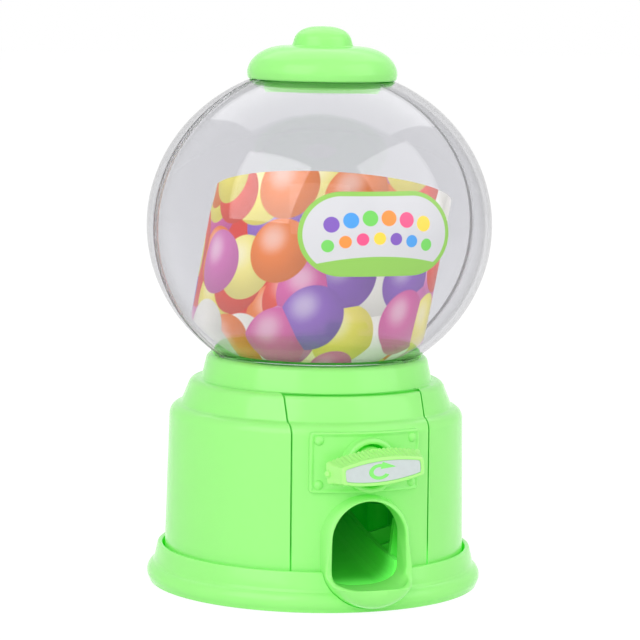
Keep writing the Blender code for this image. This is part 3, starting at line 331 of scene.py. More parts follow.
def block(name: str, low: Point3, high: Point3) -> bpy.types.Object:
    """A plain cutter between two corners."""
    outline = [(low[0], low[2]), (high[0], low[2]), (high[0], high[2]), (low[0], high[2])]
    return prism(name, outline, low[1], high[1])


def post(name: str, centre: Point2, radius: float, low: float, high: float) -> bpy.types.Object:
    """An upright round post."""
    around = circle(centre, radius, 24)
    return skin(name, [[(x, y, z) for x, y in around] for z in (low, high)])


def dome(name: str, centre: Point3, radius: float, depth: float, steps: int = 28) -> bpy.types.Object:
    """A round head that bulges along Y.

    Args:
        name: The object's name.
        centre: Its centre.
        radius: Its radius across Y.
        depth: How far it bulges.
        steps: The number of stretches round it.

    Returns:
        The closed solid.
    """
    bm = bmesh.new()
    bmesh.ops.create_uvsphere(bm, u_segments=steps, v_segments=steps // 2, radius=1.0)
    bmesh.ops.scale(bm, vec=Vector((radius, depth, radius)), verts=bm.verts)
    bmesh.ops.translate(bm, vec=Vector(centre), verts=bm.verts)
    return place(name, bm)


def lay_flat(
    bm: bmesh.types.BMesh, uv: bmesh.types.BMLayerItem, flat: dict[bmesh.types.BMVert, Point2]
) -> None:
    """Maps a sheet to its flat shape.

    Args:
        bm: The mesh.
        uv: The map.
        flat: Each point's place on the flat sheet, in millimetres.
    """
    for face in bm.faces:
        for loop in face.loops:
            loop[uv].uv = flat[loop.vert]


def present(obj: bpy.types.Object, body: Body, nodes: Iterable[str]) -> bpy.types.Object:
    """Makes a piece ride on its body and stand for its nodes.

    Args:
        obj: The piece.
        body: The body that it moves with.
        nodes: The frame's nodes that it stands for.

    Returns:
        The piece.
    """
    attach(obj, body.value)
    for node in nodes:
        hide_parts(node)
    LOG.info("piece %s on %s", obj.name, body.value)
    return obj


def wear(obj: bpy.types.Object, *materials: bpy.types.Material) -> bpy.types.Object:
    """Gives an object these materials and no others. A new mesh keeps its faces' slots.

    Args:
        obj: The object.
        *materials: The materials, in the order of their slots.

    Returns:
        The same object.
    """
    if obj.data.materials:
        obj.data.materials.clear()
    for material in materials:
        obj.data.materials.append(material)
    return obj


def line_inside(
    obj: bpy.types.Object, radius: float, material: bpy.types.Material, low: float = 0.0
) -> None:
    """Gives the faces of a shell that look towards the Z axis one more material.

    Args:
        obj: The shell.
        radius: Only faces nearer to the axis than this get it.
        material: The material.
        low: Only faces above this height get it.
    """
    inward = -0.3
    obj.data.materials.append(material)
    slot = len(obj.data.materials) - 1
    for face in obj.data.polygons:
        across = Vector((face.center.x, face.center.y))
        facing = Vector((face.normal.x, face.normal.y)).dot(across.normalized())
        if across.length < radius * MM and facing < inward and face.center.z > low * MM:
            face.material_index = slot


# Shader tools
class Shader:
    """A node material that is put together socket by socket."""

    def __init__(self, name: str) -> None:
        """Starts a material with one Principled shader.

        Args:
            name: The material's name.
        """
        self.material = bpy.data.materials.new(name)
        self.material.use_nodes = True
        self.tree = self.material.node_tree
        self.surface = self.tree.nodes["Principled BSDF"]

    def node(self, kind: str, **settings: object) -> bpy.types.Node:
        """Adds a node.

        Args:
            kind: The node's type.
            **settings: Properties to set on it.

        Returns:
            The node.
        """
        made = self.tree.nodes.new(kind)
        for key, value in settings.items():
            setattr(made, key, value)
        return made

    def link(self, source: bpy.types.NodeSocket, target: bpy.types.NodeSocket) -> None:
        """Joins two sockets."""
        self.tree.links.new(source, target)

    def feed(self, socket: bpy.types.NodeSocket, value: object) -> None:
        """Links a socket, or sets a plain value.

        Args:
            socket: The input.
            value: Another node's output, or a plain value.
        """
        if isinstance(value, bpy.types.NodeSocket):
            self.link(value, socket)
        else:
            socket.default_value = value

    def set(self, name: str, value: object) -> None:
        """Links or sets one input of the Principled shader."""
        self.feed(self.surface.inputs[name], value)

    def math(self, operation: str, *values: object) -> bpy.types.NodeSocket:
        """Adds a Math node.

        Args:
            operation: What it does.
            *values: Its inputs, as sockets or numbers.

        Returns:
            Its result.
        """
        made = self.node("ShaderNodeMath", operation=operation)
        for socket, value in zip(made.inputs, values):
            self.feed(socket, value)
        return made.outputs[0]

    def vector_math(self, operation: str, *values: object) -> bpy.types.Node:
        """Adds a Vector Math node.

        Args:
            operation: What it does.
            *values: Its inputs, as sockets or vectors.

        Returns:
            The node.
        """
        made = self.node("ShaderNodeVectorMath", operation=operation)
        for socket, value in zip(made.inputs, values):
            self.feed(socket, value)
        return made

    def scale(self, vector: bpy.types.NodeSocket, share: object) -> bpy.types.NodeSocket:
        """Scales a vector or colour.

        Args:
            vector: The vector or colour.
            share: What it is scaled by, as a number or socket.

        Returns:
            The result.
        """
        made = self.vector_math("SCALE", vector)
        self.feed(made.inputs["Scale"], share)
        return made.outputs[0]

    def mix(self, factor: object, first: object, second: object) -> bpy.types.NodeSocket:
        """Mixes two colours.

        Args:
            factor: The second colour's share.
            first: A socket or colour.
            second: A socket or colour.

        Returns:
            The result.
        """
        made = self.node("ShaderNodeMix", data_type="RGBA")
        self.feed(made.inputs["Factor"], factor)
        for socket, colour in ((made.inputs[6], first), (made.inputs[7], second)):
            self.feed(socket, colour if isinstance(colour, bpy.types.NodeSocket) else (*colour, 1.0))
        return made.outputs[2]

    def span(
        self, value: object, low: float, high: float, to_low: float, to_high: float
    ) -> bpy.types.NodeSocket:
        """Maps a value from one span to another, smoothly.

        Args:
            value: The value.
            low: Where the first span starts.
            high: Where it ends.
            to_low: What its start becomes.
            to_high: What its end becomes.

        Returns:
            The mapped value.
        """
        made = self.node("ShaderNodeMapRange", interpolation_type="SMOOTHSTEP")
        for socket, given in zip(made.inputs, (value, low, high, to_low, to_high)):
            self.feed(socket, given)
        return made.outputs[0]

    def noise(self, scale: float, detail: float = 3.0) -> bpy.types.NodeSocket:
        """Adds a noise on the object's own coordinates.

        Args:
            scale: How fine it is.
            detail: How many finer layers it has.

        Returns:
            Its value.
        """
        where = self.node("ShaderNodeTexCoord")
        made = self.node("ShaderNodeTexNoise")
        made.inputs["Scale"].default_value = scale
        made.inputs["Detail"].default_value = detail
        self.link(where.outputs["Object"], made.inputs["Vector"])
        return made.outputs["Fac"]

    def grain(self, scale: float, middle: float, spread: float) -> bpy.types.NodeSocket:
        """A value that wanders about a middle one with a noise."""
        return self.span(self.noise(scale), *NOISE_SPAN, middle - spread, middle + spread)

    def ripple(self, scale: float, height: float) -> None:
        """Adds a fine unevenness of the surface.

        Args:
            scale: How fine it is.
            height: How high it is, in metres.
        """
        bump = self.node("ShaderNodeBump")
        bump.inputs["Distance"].default_value = height
        bump.inputs["Strength"].default_value = 1.0
        self.link(self.noise(scale, 2.0), bump.inputs["Height"])
        self.set("Normal", bump.outputs["Normal"])


# Finishes
@dataclass(frozen=True)
class MouldedPlastic:
    """Injection-moulded plastic with faint flow marks. A painted glow can be added: an emission that lifts
    its shade, in place of light coming through thin walls.
    """

    name: str
    colour: Colour
    roughness: float = 0.24
    roughness_spread: float = 0.04
    grain_scale: float = 300.0
    flow: float = 0.05
    flow_scale: float = 60.0
    ripple_scale: float = 420.0
    ripple_height: float = 0.00002
    ior: float = 1.5
    gloss: float = 0.3
    glow: float = 0.0
    glow_radius: Colour = (0.6, 1.0, 0.5)
    glow_depth: float = 0.0015
    # Emission colour of the painted glow, which lifts the shade.
    painted_glow_colour: Colour = (0.0, 0.0, 0.0)

    def material(self) -> bpy.types.Material:
        """Builds the node material.

        Returns:
            The material.
        """
        shader = Shader(self.name)
        cloud = shader.noise(self.flow_scale)
        shader.set("Base Color", shader.mix(cloud, shaded(self.colour, 1 - self.flow), self.colour))
        shader.set("Roughness", shader.grain(self.grain_scale, self.roughness, self.roughness_spread))
        shader.set("IOR", self.ior)
        shader.set("Specular IOR Level", self.gloss)
        # Painted glow: a constant emission that lifts the shade.
        shader.set("Emission Color", (*self.painted_glow_colour, 1.0))
        shader.set("Emission Strength", 1.0)
        shader.set("Subsurface Weight", self.glow)
        shader.set("Subsurface Radius", self.glow_radius)
        shader.set("Subsurface Scale", self.glow_depth)
        shader.ripple(self.ripple_scale, self.ripple_height)
        shader.material.diffuse_color = (*self.colour, 1.0)
        return shader.material


@dataclass(frozen=True)
class PaintedInnerPlastic:
    """The green inside the body as painted shade: a deeper copy of the green, with a faint painted glow and a
    painted pool of light on the floor near the mouth.
    """

    name: str
    colour: Colour
    deep_painted_glow: Colour
    front_painted_light: Colour
    deep_y: float = -0.024
    front_y: float = -0.0365
    floor_z: float = 0.0105
    clear_z: float = 0.0155
    flow: float = 0.05
    flow_scale: float = 60.0
    roughness: float = 0.35
    gloss: float = 0.25

    def material(self) -> bpy.types.Material:
        """Builds the node material.

        Returns:
            The material.
        """
        shader = Shader(self.name)
        cloud = shader.noise(self.flow_scale)
        # The deeper colour is painted shade.
        shader.set("Base Color", shader.mix(cloud, shaded(self.colour, 1 - self.flow), self.colour))
        # Painted pool of light: the emission rises towards the mouth and near the floor, over a faint painted
        # glow.
        where = shader.node("ShaderNodeSeparateXYZ")
        shader.link(shader.node("ShaderNodeTexCoord").outputs["Object"], where.inputs[0])
        forward = shader.math("MULTIPLY", where.outputs[1], -1.0)
        ahead = shader.span(forward, -self.deep_y, -self.front_y, 0.0, 1.0)
        down = shader.span(where.outputs[2], self.floor_z, self.clear_z, 1.0, 0.0)
        glow = shader.mix(shader.math("MULTIPLY", ahead, down), self.deep_painted_glow, self.front_painted_light)
        shader.set("Emission Color", glow)
        shader.set("Emission Strength", 1.0)
        shader.set("Roughness", self.roughness)
        shader.set("Specular IOR Level", self.gloss)
        return shader.material


@dataclass(frozen=True)
class ClearPlastic:
    """Clear polished plastic with a faint grey tint, and painted shade that darkens its colour towards
    grazing edges.
    """

    name: str
    tint: Colour
    edge_painted_shade: Colour
    roughness: float = 0.02
    haze: float = 0.015
    haze_scale: float = 35.0
    edge_start: float = 0.55
    edge_end: float = 0.95
    ior: float = 1.49
    ripple_scale: float = 60.0
    ripple_height: float = 0.000002

    def material(self) -> bpy.types.Material:
        """Builds the node material.

        Returns:
            The material.
        """
        shader = Shader(self.name)
        plain = shader.mix(shader.noise(self.haze_scale), shaded(self.tint, 1 - self.haze), self.tint)
        # Painted shade: the colour darkens where the surface is seen edge-on.
        facing = shader.node("ShaderNodeLayerWeight").outputs["Facing"]
        edge = shader.span(facing, self.edge_start, self.edge_end, 0.0, 1.0)
        shader.set("Base Color", shader.mix(edge, plain, self.edge_painted_shade))
        shader.set("Roughness", self.roughness)
        shader.set("IOR", self.ior)
        shader.set("Transmission Weight", 1.0)
        shader.ripple(self.ripple_scale, self.ripple_height)
        return shader.material


@dataclass(frozen=True)
class Metal:
    """Plain metal or metal film with a fine grain."""

    name: str
    colour: Colour
    roughness: float = 0.32
    metallic: float = 1.0
    roughness_spread: float = 0.06
    grain_scale: float = 2500.0
    shade: float = 0.1
    shade_scale: float = 900.0

    def material(self) -> bpy.types.Material:
        """Builds the node material.

        Returns:
            The material.
        """
        shader = Shader(self.name)
        cloud = shader.noise(self.shade_scale)
        shader.set("Base Color", shader.mix(cloud, shaded(self.colour, 1 - self.shade), self.colour))
        shader.set("Metallic", self.metallic)
        shader.set("Roughness", shader.grain(self.grain_scale, self.roughness, self.roughness_spread))
        return shader.material


@dataclass(frozen=True)
class CandyPrint:
    """Coated card printed with a heap of round candies, in layers that cover each other."""

    name: str
    colours: tuple[Colour, ...]
    ground: Colour
    pitch: float = 16.5
    layers: int = 4
    radius: float = 0.47
    rim_blur: float = 0.02
    scatter: float = 0.62
    first_shift: Point2 = (3.7, 1.9)
    layer_shift: Point2 = (5.31, 7.77)
    edge_shade: float = 0.7
    shade_span: Point2 = (0.06, 0.72)
    glint_spot: Point3 = (-0.13, 0.17, 0.0)
    glint_span: Point2 = (0.02, 0.3)
    glint_strength: float = 0.42
    glint_colour: Colour = (1.0, 0.97, 0.95)
    # Strength of a painted glow that brightens the print behind the globe.
    painted_glow_strength: float = 0.38
    roughness: float = 0.42

    def material(self) -> bpy.types.Material:
        """Builds the node material from the sheet's own map, which is in millimetres.

        Returns:
            The material.
        """
        shader = Shader(self.name)
        where = shader.node("ShaderNodeUVMap", uv_map="sheet")
        colour: object = self.ground
        for layer in range(self.layers):
            colour = self.add_layer(shader, where.outputs["UV"], colour, layer)
        shader.set("Base Color", colour)
        # Painted glow: the print's colour is also its emission.
        shader.set("Emission Color", colour)
        shader.set("Emission Strength", self.painted_glow_strength)
        shader.set("Roughness", self.roughness)
        return shader.material

    def pick(self, shader: Shader, cells: bpy.types.Node, layer: int) -> bpy.types.NodeSocket:
        """Picks a candy colour for each cell.

        Args:
            shader: The material.
            cells: The node that makes the cells.
            layer: The layer's number, which shifts the order of colours.

        Returns:
            The colour.
        """
        parts = shader.node("ShaderNodeSeparateColor")
        shader.link(cells.outputs["Color"], parts.inputs[0])
        ramp = shader.node("ShaderNodeValToRGB")
        ramp.color_ramp.interpolation = "CONSTANT"
        marks = ramp.color_ramp.elements
        first = layer % len(self.colours)
        order = self.colours[first:] + self.colours[:first]
        for i, colour in enumerate(order):
            stop = i / len(order)
            mark = marks[0] if i == 0 else marks.new(stop)
            mark.position = stop
            mark.color = (*colour, 1.0)
        marks.remove(marks[-1])
        shader.link(parts.outputs[0], ramp.inputs[0])
        return ramp.outputs[0]

    def add_layer(
        self, shader: Shader, where: bpy.types.NodeSocket, under: object, layer: int
    ) -> bpy.types.NodeSocket:
        """Prints one layer of candies over what is there.

        Args:
            shader: The material.
            where: Places on the sheet, in millimetres.
            under: The colour so far.
            layer: The layer's number, which shifts its candies.

        Returns:
            The new colour.
        """
        shift = [start + step * layer for start, step in zip(self.first_shift, self.layer_shift)]
        moved = shader.vector_math("ADD", shader.scale(where, 1 / self.pitch), (*shift, 0.0))
        cells = shader.node("ShaderNodeTexVoronoi", voronoi_dimensions="2D", feature="F1")
        cells.inputs["Scale"].default_value = 1.0
        cells.inputs["Randomness"].default_value = self.scatter
        shader.link(moved.outputs[0], cells.inputs["Vector"])
        colour = self.pick(shader, cells, layer)
        local = shader.vector_math("SUBTRACT", moved.outputs[0], cells.outputs["Position"])
        glint = shader.vector_math("DISTANCE", local.outputs[0], self.glint_spot).outputs["Value"]
        body = shader.scale(colour, shader.span(glint, *self.shade_span, 1.0, self.edge_shade))
        light = shader.span(glint, *self.glint_span, self.glint_strength, 0.0)
        lit = shader.mix(light, body, self.glint_colour)
        cover = shader.span(cells.outputs["Distance"], self.radius - self.rim_blur, self.radius, 1.0, 0.0)
        return shader.mix(cover, under, lit)


@dataclass(frozen=True)
class LabelPrint:
    """A white label with a green edge, a green foot and rows of plain coloured dots."""

    name: str
    white: Colour
    green: Colour
    dots: tuple[tuple[float, float, float, Colour], ...]
    half_width: float
    half_height: float
    edge: float = 1.15
    foot: float = -5.4
    foot_bend: float = -0.008
    blur: float = 0.1
    roughness: float = 0.3

    def within(self, shader: Shader, value: bpy.types.NodeSocket, limit: float) -> bpy.types.NodeSocket:
        """A factor that is 1 below a limit and 0 above it, with a narrow blur."""
        return shader.span(value, limit - self.blur, limit + self.blur, 1.0, 0.0)

    def reach(
        self, shader: Shader, across: bpy.types.NodeSocket, up: bpy.types.NodeSocket
    ) -> bpy.types.NodeSocket:
        """How far a place is from the line between the two round ends' centres.

        Args:
            shader: The material.
            across: The place's distance across from the label's centre.
            up: Its distance up.

        Returns:
            The distance.
        """
        straight = self.half_width - self.half_height
        past = shader.math("SUBTRACT", shader.math("ABSOLUTE", across), straight)
        beyond = shader.math("MAXIMUM", past, 0.0)
        squares = [shader.math("POWER", value, 2.0) for value in (beyond, up)]
        return shader.math("SQRT", shader.math("ADD", *squares))

    def material(self) -> bpy.types.Material:
        """Builds the node material from the label's own map, which is in millimetres.

        Returns:
            The material.
        """
        shader = Shader(self.name)
        where = shader.node("ShaderNodeUVMap", uv_map="sheet").outputs["UV"]
        parts = shader.node("ShaderNodeSeparateXYZ")
        shader.link(where, parts.inputs[0])
        across, up = parts.outputs[0], parts.outputs[1]
        bend = shader.math("MULTIPLY", shader.math("POWER", across, 2.0), self.foot_bend)
        above = shader.math("SUBTRACT", up, bend)
        colour = shader.mix(self.within(shader, above, self.foot), self.white, self.green)
        for x, y, radius, paint in self.dots:
            gap = shader.vector_math("DISTANCE", where, (x, y, 0.0)).outputs["Value"]
            colour = shader.mix(self.within(shader, gap, radius), colour, paint)
        inner = self.within(shader, self.reach(shader, across, up), self.half_height - self.edge)
        shader.set("Base Color", shader.mix(inner, self.green, colour))
        shader.set("Roughness", self.roughness)
        return shader.material


@dataclass
class Finishes:
    """Every material that the pieces share."""

    green: bpy.types.Material = field(init=False)
    green_painted_shade_and_glow: bpy.types.Material = field(init=False)
    green_painted_light: bpy.types.Material = field(init=False)
    knob: bpy.types.Material = field(init=False)
    clear: bpy.types.Material = field(init=False)
    clear_seam: bpy.types.Material = field(init=False)
    white: bpy.types.Material = field(init=False)
    steel: bpy.types.Material = field(init=False)
    silver: bpy.types.Material = field(init=False)
    card: bpy.types.Material = field(init=False)
    card_edge: bpy.types.Material = field(init=False)
    mark: bpy.types.Material = field(init=False)
    candy: bpy.types.Material = field(init=False)

    def __post_init__(self) -> None:
        """Makes the materials."""
        # A real subsurface glow, and a painted glow that lifts the shade of the green and the knob.
        subsurface_and_painted_glow = {"glow": 0.25, "painted_glow_colour": GREEN_PAINTED_GLOW}
        self.green = MouldedPlastic("green_plastic", GREEN, 0.17, **subsurface_and_painted_glow).material()
        # Painted shade and glow for the inside of the body.
        self.green_painted_shade_and_glow = PaintedInnerPlastic("green_painted_shade_and_glow", INNER_PAINTED_SHADE_GREEN, DEEP_PAINTED_GLOW, FRONT_PAINTED_LIGHT).material()
        # Painted light on faces seen through the globe.
        self.green_painted_light = MouldedPlastic("green_painted_light", GREEN, 0.3, painted_glow_colour=PAINTED_LIGHT_GLOW).material()
        self.knob = MouldedPlastic("knob_plastic", KNOB_GREEN, 0.32, **subsurface_and_painted_glow).material()
        self.clear = ClearPlastic("clear_plastic", CLEAR_TINT, CLEAR_EDGE_PAINTED_SHADE).material()
        self.clear_seam = ClearPlastic("clear_seam", SEAM_TINT, SEAM_TINT, 0.55).material()
        self.white = MouldedPlastic("white_plastic", DRUM_WHITE, 0.4).material()
        self.steel = Metal("zinc_steel", ZINC).material()
        self.silver = Metal("silver_film", SILVER, 0.38, 0.5).material()
        self.card = MouldedPlastic("card_back", CARD_WHITE, 0.6).material()
        self.card_edge = MouldedPlastic("card_edge", CARD_PINK, 0.5).material()
        self.mark = MouldedPlastic("mark_ink", MARK_GREEN, 0.4).material()
        self.candy = CandyPrint("candy_print", CANDY_COLOURS, CANDY_GROUND).material()


# Base and body
def base_screw_spots() -> list[Point2]:
    """Finds where the upright screws stand that hold the base to the body.

    Returns:
        Their centres, as (x, y).
    """
    found = []
    for node in BASE_SCREWS:
        low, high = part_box(node)
        found.append(((low.x + high.x) / 2 / MM, (low.y + high.y) / 2 / MM))
    return found


@dataclass
class Base:
    """The flared dish that the body stands in."""

    foot_radius: float = 40.5
    foot_round: float = 0.5
    bead_radius: float = 41.1
    bead_round: float = 2.6
    bead_z: float = 2.4
    waist_out: float = 1.5
    waist_z: float = 5.6
    waist_round: float = 0.75
    flare: float = 0.5
    flare_z: float = 6.8
    rim_radius: float = 38.6
    rim_wall: float = 1.2
    rim_round: float = 0.45
    rim_inner_round: float = 0.35
    height: float = 9.4
    floor_top: float = 2.0
    floor_step: float = 1.0
    inner_radius: float = 37.35
    clearance: float = 0.14
    well_radius: float = 2.9
    well_top: float = 2.6
    cup_wall: float = 1.0
    cup_top: float = 4.2
    shank_radius: float = 1.5

    def outline(self) -> list[Point2]:
        """Draws the turned outline, from the foot up the outside and down the inside.

        Returns:
            The points, as (radius, z).
        """
        foot = self.foot_round
        outer, inner = self.rim_round, self.rim_inner_round
        side = [(0.0, 0.0), (self.foot_radius - foot, 0.0)]
        side += arc((self.foot_radius - foot, foot), foot, -90, -40, 3)
        side += arc((self.bead_radius - self.bead_round, self.bead_z), self.bead_round, -38, 62, 14)
        side += arc((self.rim_radius + self.waist_out, self.waist_z), self.waist_round, 220, 180, 4)
        side.append((self.rim_radius + self.flare, self.flare_z))
        side += arc((self.rim_radius - outer, self.height - outer), outer, 5, 90, 5)
        side += arc((self.rim_radius - self.rim_wall + inner, self.height - inner), inner, 90, 180, 4)
        side.append((self.inner_radius, self.floor_top + self.floor_step))
        side += [(self.inner_radius, self.floor_top), (0.0, self.floor_top)]
        return side

    def build(self, finishes: Finishes, mouth: "Mouth") -> None:
        """Makes the dish with its notch and screw cups, and dresses it.

        Args:
            finishes: The shared materials.
            mouth: The mouth, whose tray reaches through the notch.
        """
        base = revolve("base_dish", self.outline())
        notch = prism("notch", mouth.surround(self.clearance, 24), -FAR, mouth.back_y + self.clearance)
        combine(base, notch, Join.CUT)
        cup_radius = self.well_radius + self.cup_wall
        for centre in base_screw_spots():
            combine(base, post("cup", centre, cup_radius, self.floor_top / 2, self.cup_top), Join.ADD)
            combine(base, post("well", centre, self.well_radius, -OVERCUT, self.well_top), Join.CUT)
            combine(base, post("shank_hole", centre, self.shank_radius, 0.0, self.height), Join.CUT)
        wear(base, finishes.green)
        present(base, Body.FRAME, ["base"])


@dataclass
class StepBody:
    """The stepped shell with its collar."""

    wall: float = 2.0
    foot_z: float = 2.3
    foot_radius: float = 36.95
    top_radius: float = 36.1
    shoulder_z: float = 41.3
    shoulder_drop: float = 1.0
    tier2_radius: float = 33.2
    tier2_z: float = 44.4
    tier2_drop: float = 1.2
    tier2_inset: float = 0.6
    tier2_top_radius: float = 31.6
    tier2_round: float = 2.2
    tier2_fillet: float = 0.55
    tier2_fillet_rise: float = 0.35
    tier1_radius: float = 28.4
    tier1_z: float = 50.45
    tier1_skin: float = 0.02
    tier1_top_radius: float = 27.3
    tier1_fillet: float = 0.5
    tier1_fillet_out: float = 0.35
    tier1_fillet_rise: float = 0.45
    collar_z: float = 56.6
    collar_inset: float = 0.2
    collar_drop: float = 0.4
    bore_radius: float = 25.6
    panel_half_width: float = 17.35
    panel_gap: float = 0.42
    panel_back_y: float = -10.0
    boss_radius: float = 2.9
    boss_low: float = 4.5
    boss_top: float = 15.0
    pilot_radius: float = 1.35
    pilot_top: float = 13.0
    web_half_wall: float = 1.0
    web_low: float = 6.2
    web_top: float = 14.0

    def side(self) -> list[Point2]:
        """Draws the outside of the two lower tiers, from the foot to the top step.

        Returns:
            The points, as (radius, z).
        """
        fillet, bend = self.tier2_fillet, self.tier2_round
        shoulder = self.top_radius - self.tier2_radius
        found = [(self.foot_radius, self.foot_z)]
        found += arc((self.tier2_radius, self.shoulder_z), shoulder, 2, 80, 14)
        found += arc((self.tier2_radius + fillet, self.tier2_z + self.tier2_fillet_rise), fillet, 245, 190, 4)
        found += arc((self.tier2_top_radius - bend, self.tier1_z - bend), bend, 14, 88, 12)
        return found

    def inside(self) -> list[Point2]:
        """Draws the inside of the two lower tiers, from under the top step to the foot.

        Returns:
            The points, as (radius, z).
        """
        return [
            (self.tier2_top_radius - self.wall, self.tier1_z - self.wall),
            (self.tier2_radius - self.wall, self.tier2_z - self.tier2_drop),
            (self.tier2_radius - self.tier2_inset, self.tier2_z - self.wall),
            (self.top_radius - self.wall, self.shoulder_z - self.shoulder_drop),
            (self.foot_radius - self.wall, self.foot_z),
        ]

    def collar(self) -> list[Point2]:
        """Draws the collar, from its foot on the top step over its crown and down the bore.

        Returns:
            The points, as (radius, z).
        """
        crown = self.tier1_top_radius - self.bore_radius
        crown_centre = (self.bore_radius + self.collar_inset, self.collar_z - crown)
        foot = (self.tier1_radius + self.tier1_fillet_out, self.tier1_z + self.tier1_fillet_rise)
        found = arc(foot, self.tier1_fillet, 255, 190, 4)
        found += arc(crown_centre, crown - self.collar_inset, 8, 92, 10)
        found.append((self.bore_radius, self.collar_z - self.collar_drop))
        found.append((self.bore_radius, self.tier1_z - self.wall))
        return found

    def boss(self, centre: Point2) -> tuple[bpy.types.Object, bpy.types.Object]:
        """Makes a boss for a base screw, and the web that ties it to the wall.

        Args:
            centre: Where the screw stands.

        Returns:
            The web and the boss.
        """
        near = Vector(centre)
        far = near.normalized() * (self.foot_radius - self.wall / 2)
        aside = near.normalized().orthogonal() * self.web_half_wall
        corners = [near - aside, far - aside, far + aside, near + aside]
        web_rows = [[(*corner, z) for corner in corners] for z in (self.web_low, self.web_top)]
        rod = post("boss", centre, self.boss_radius, self.boss_low, self.boss_top)
        return skin("web", web_rows), rod

    def build(self, finishes: Finishes) -> None:
        """Makes the shell with its front gap and screw bosses, and dresses it.

        Args:
            finishes: The shared materials.
        """
        shell = revolve("body_shell_fine", self.side() + self.collar() + self.inside())
        half = self.panel_half_width + self.panel_gap / 2
        gap_top = self.tier1_z - self.tier1_skin
        gap = block("front_gap", (-half, -FAR, -OVERCUT), (half, self.panel_back_y, gap_top))
        combine(shell, gap, Join.CUT)
        wear(shell, finishes.green)
        # Inner faces get painted shade and glow.
        line_inside(shell, self.foot_radius - self.wall / 2, finishes.green_painted_shade_and_glow)
        # The bore's inner faces get painted light.
        line_inside(shell, self.bore_radius + self.wall / 2, finishes.green_painted_light, self.tier1_z - self.wall)
        # The bosses and pilot holes get painted shade and glow.
        for centre in base_screw_spots():
            for solid in self.boss(centre):
                combine(shell, wear(solid, finishes.green_painted_shade_and_glow), Join.ADD)
            pilot = post("pilot", centre, self.pilot_radius, self.foot_z, self.pilot_top)
            combine(shell, wear(pilot, finishes.green_painted_shade_and_glow), Join.CUT)
        present(shell, Body.FRAME, ["body_shell"])


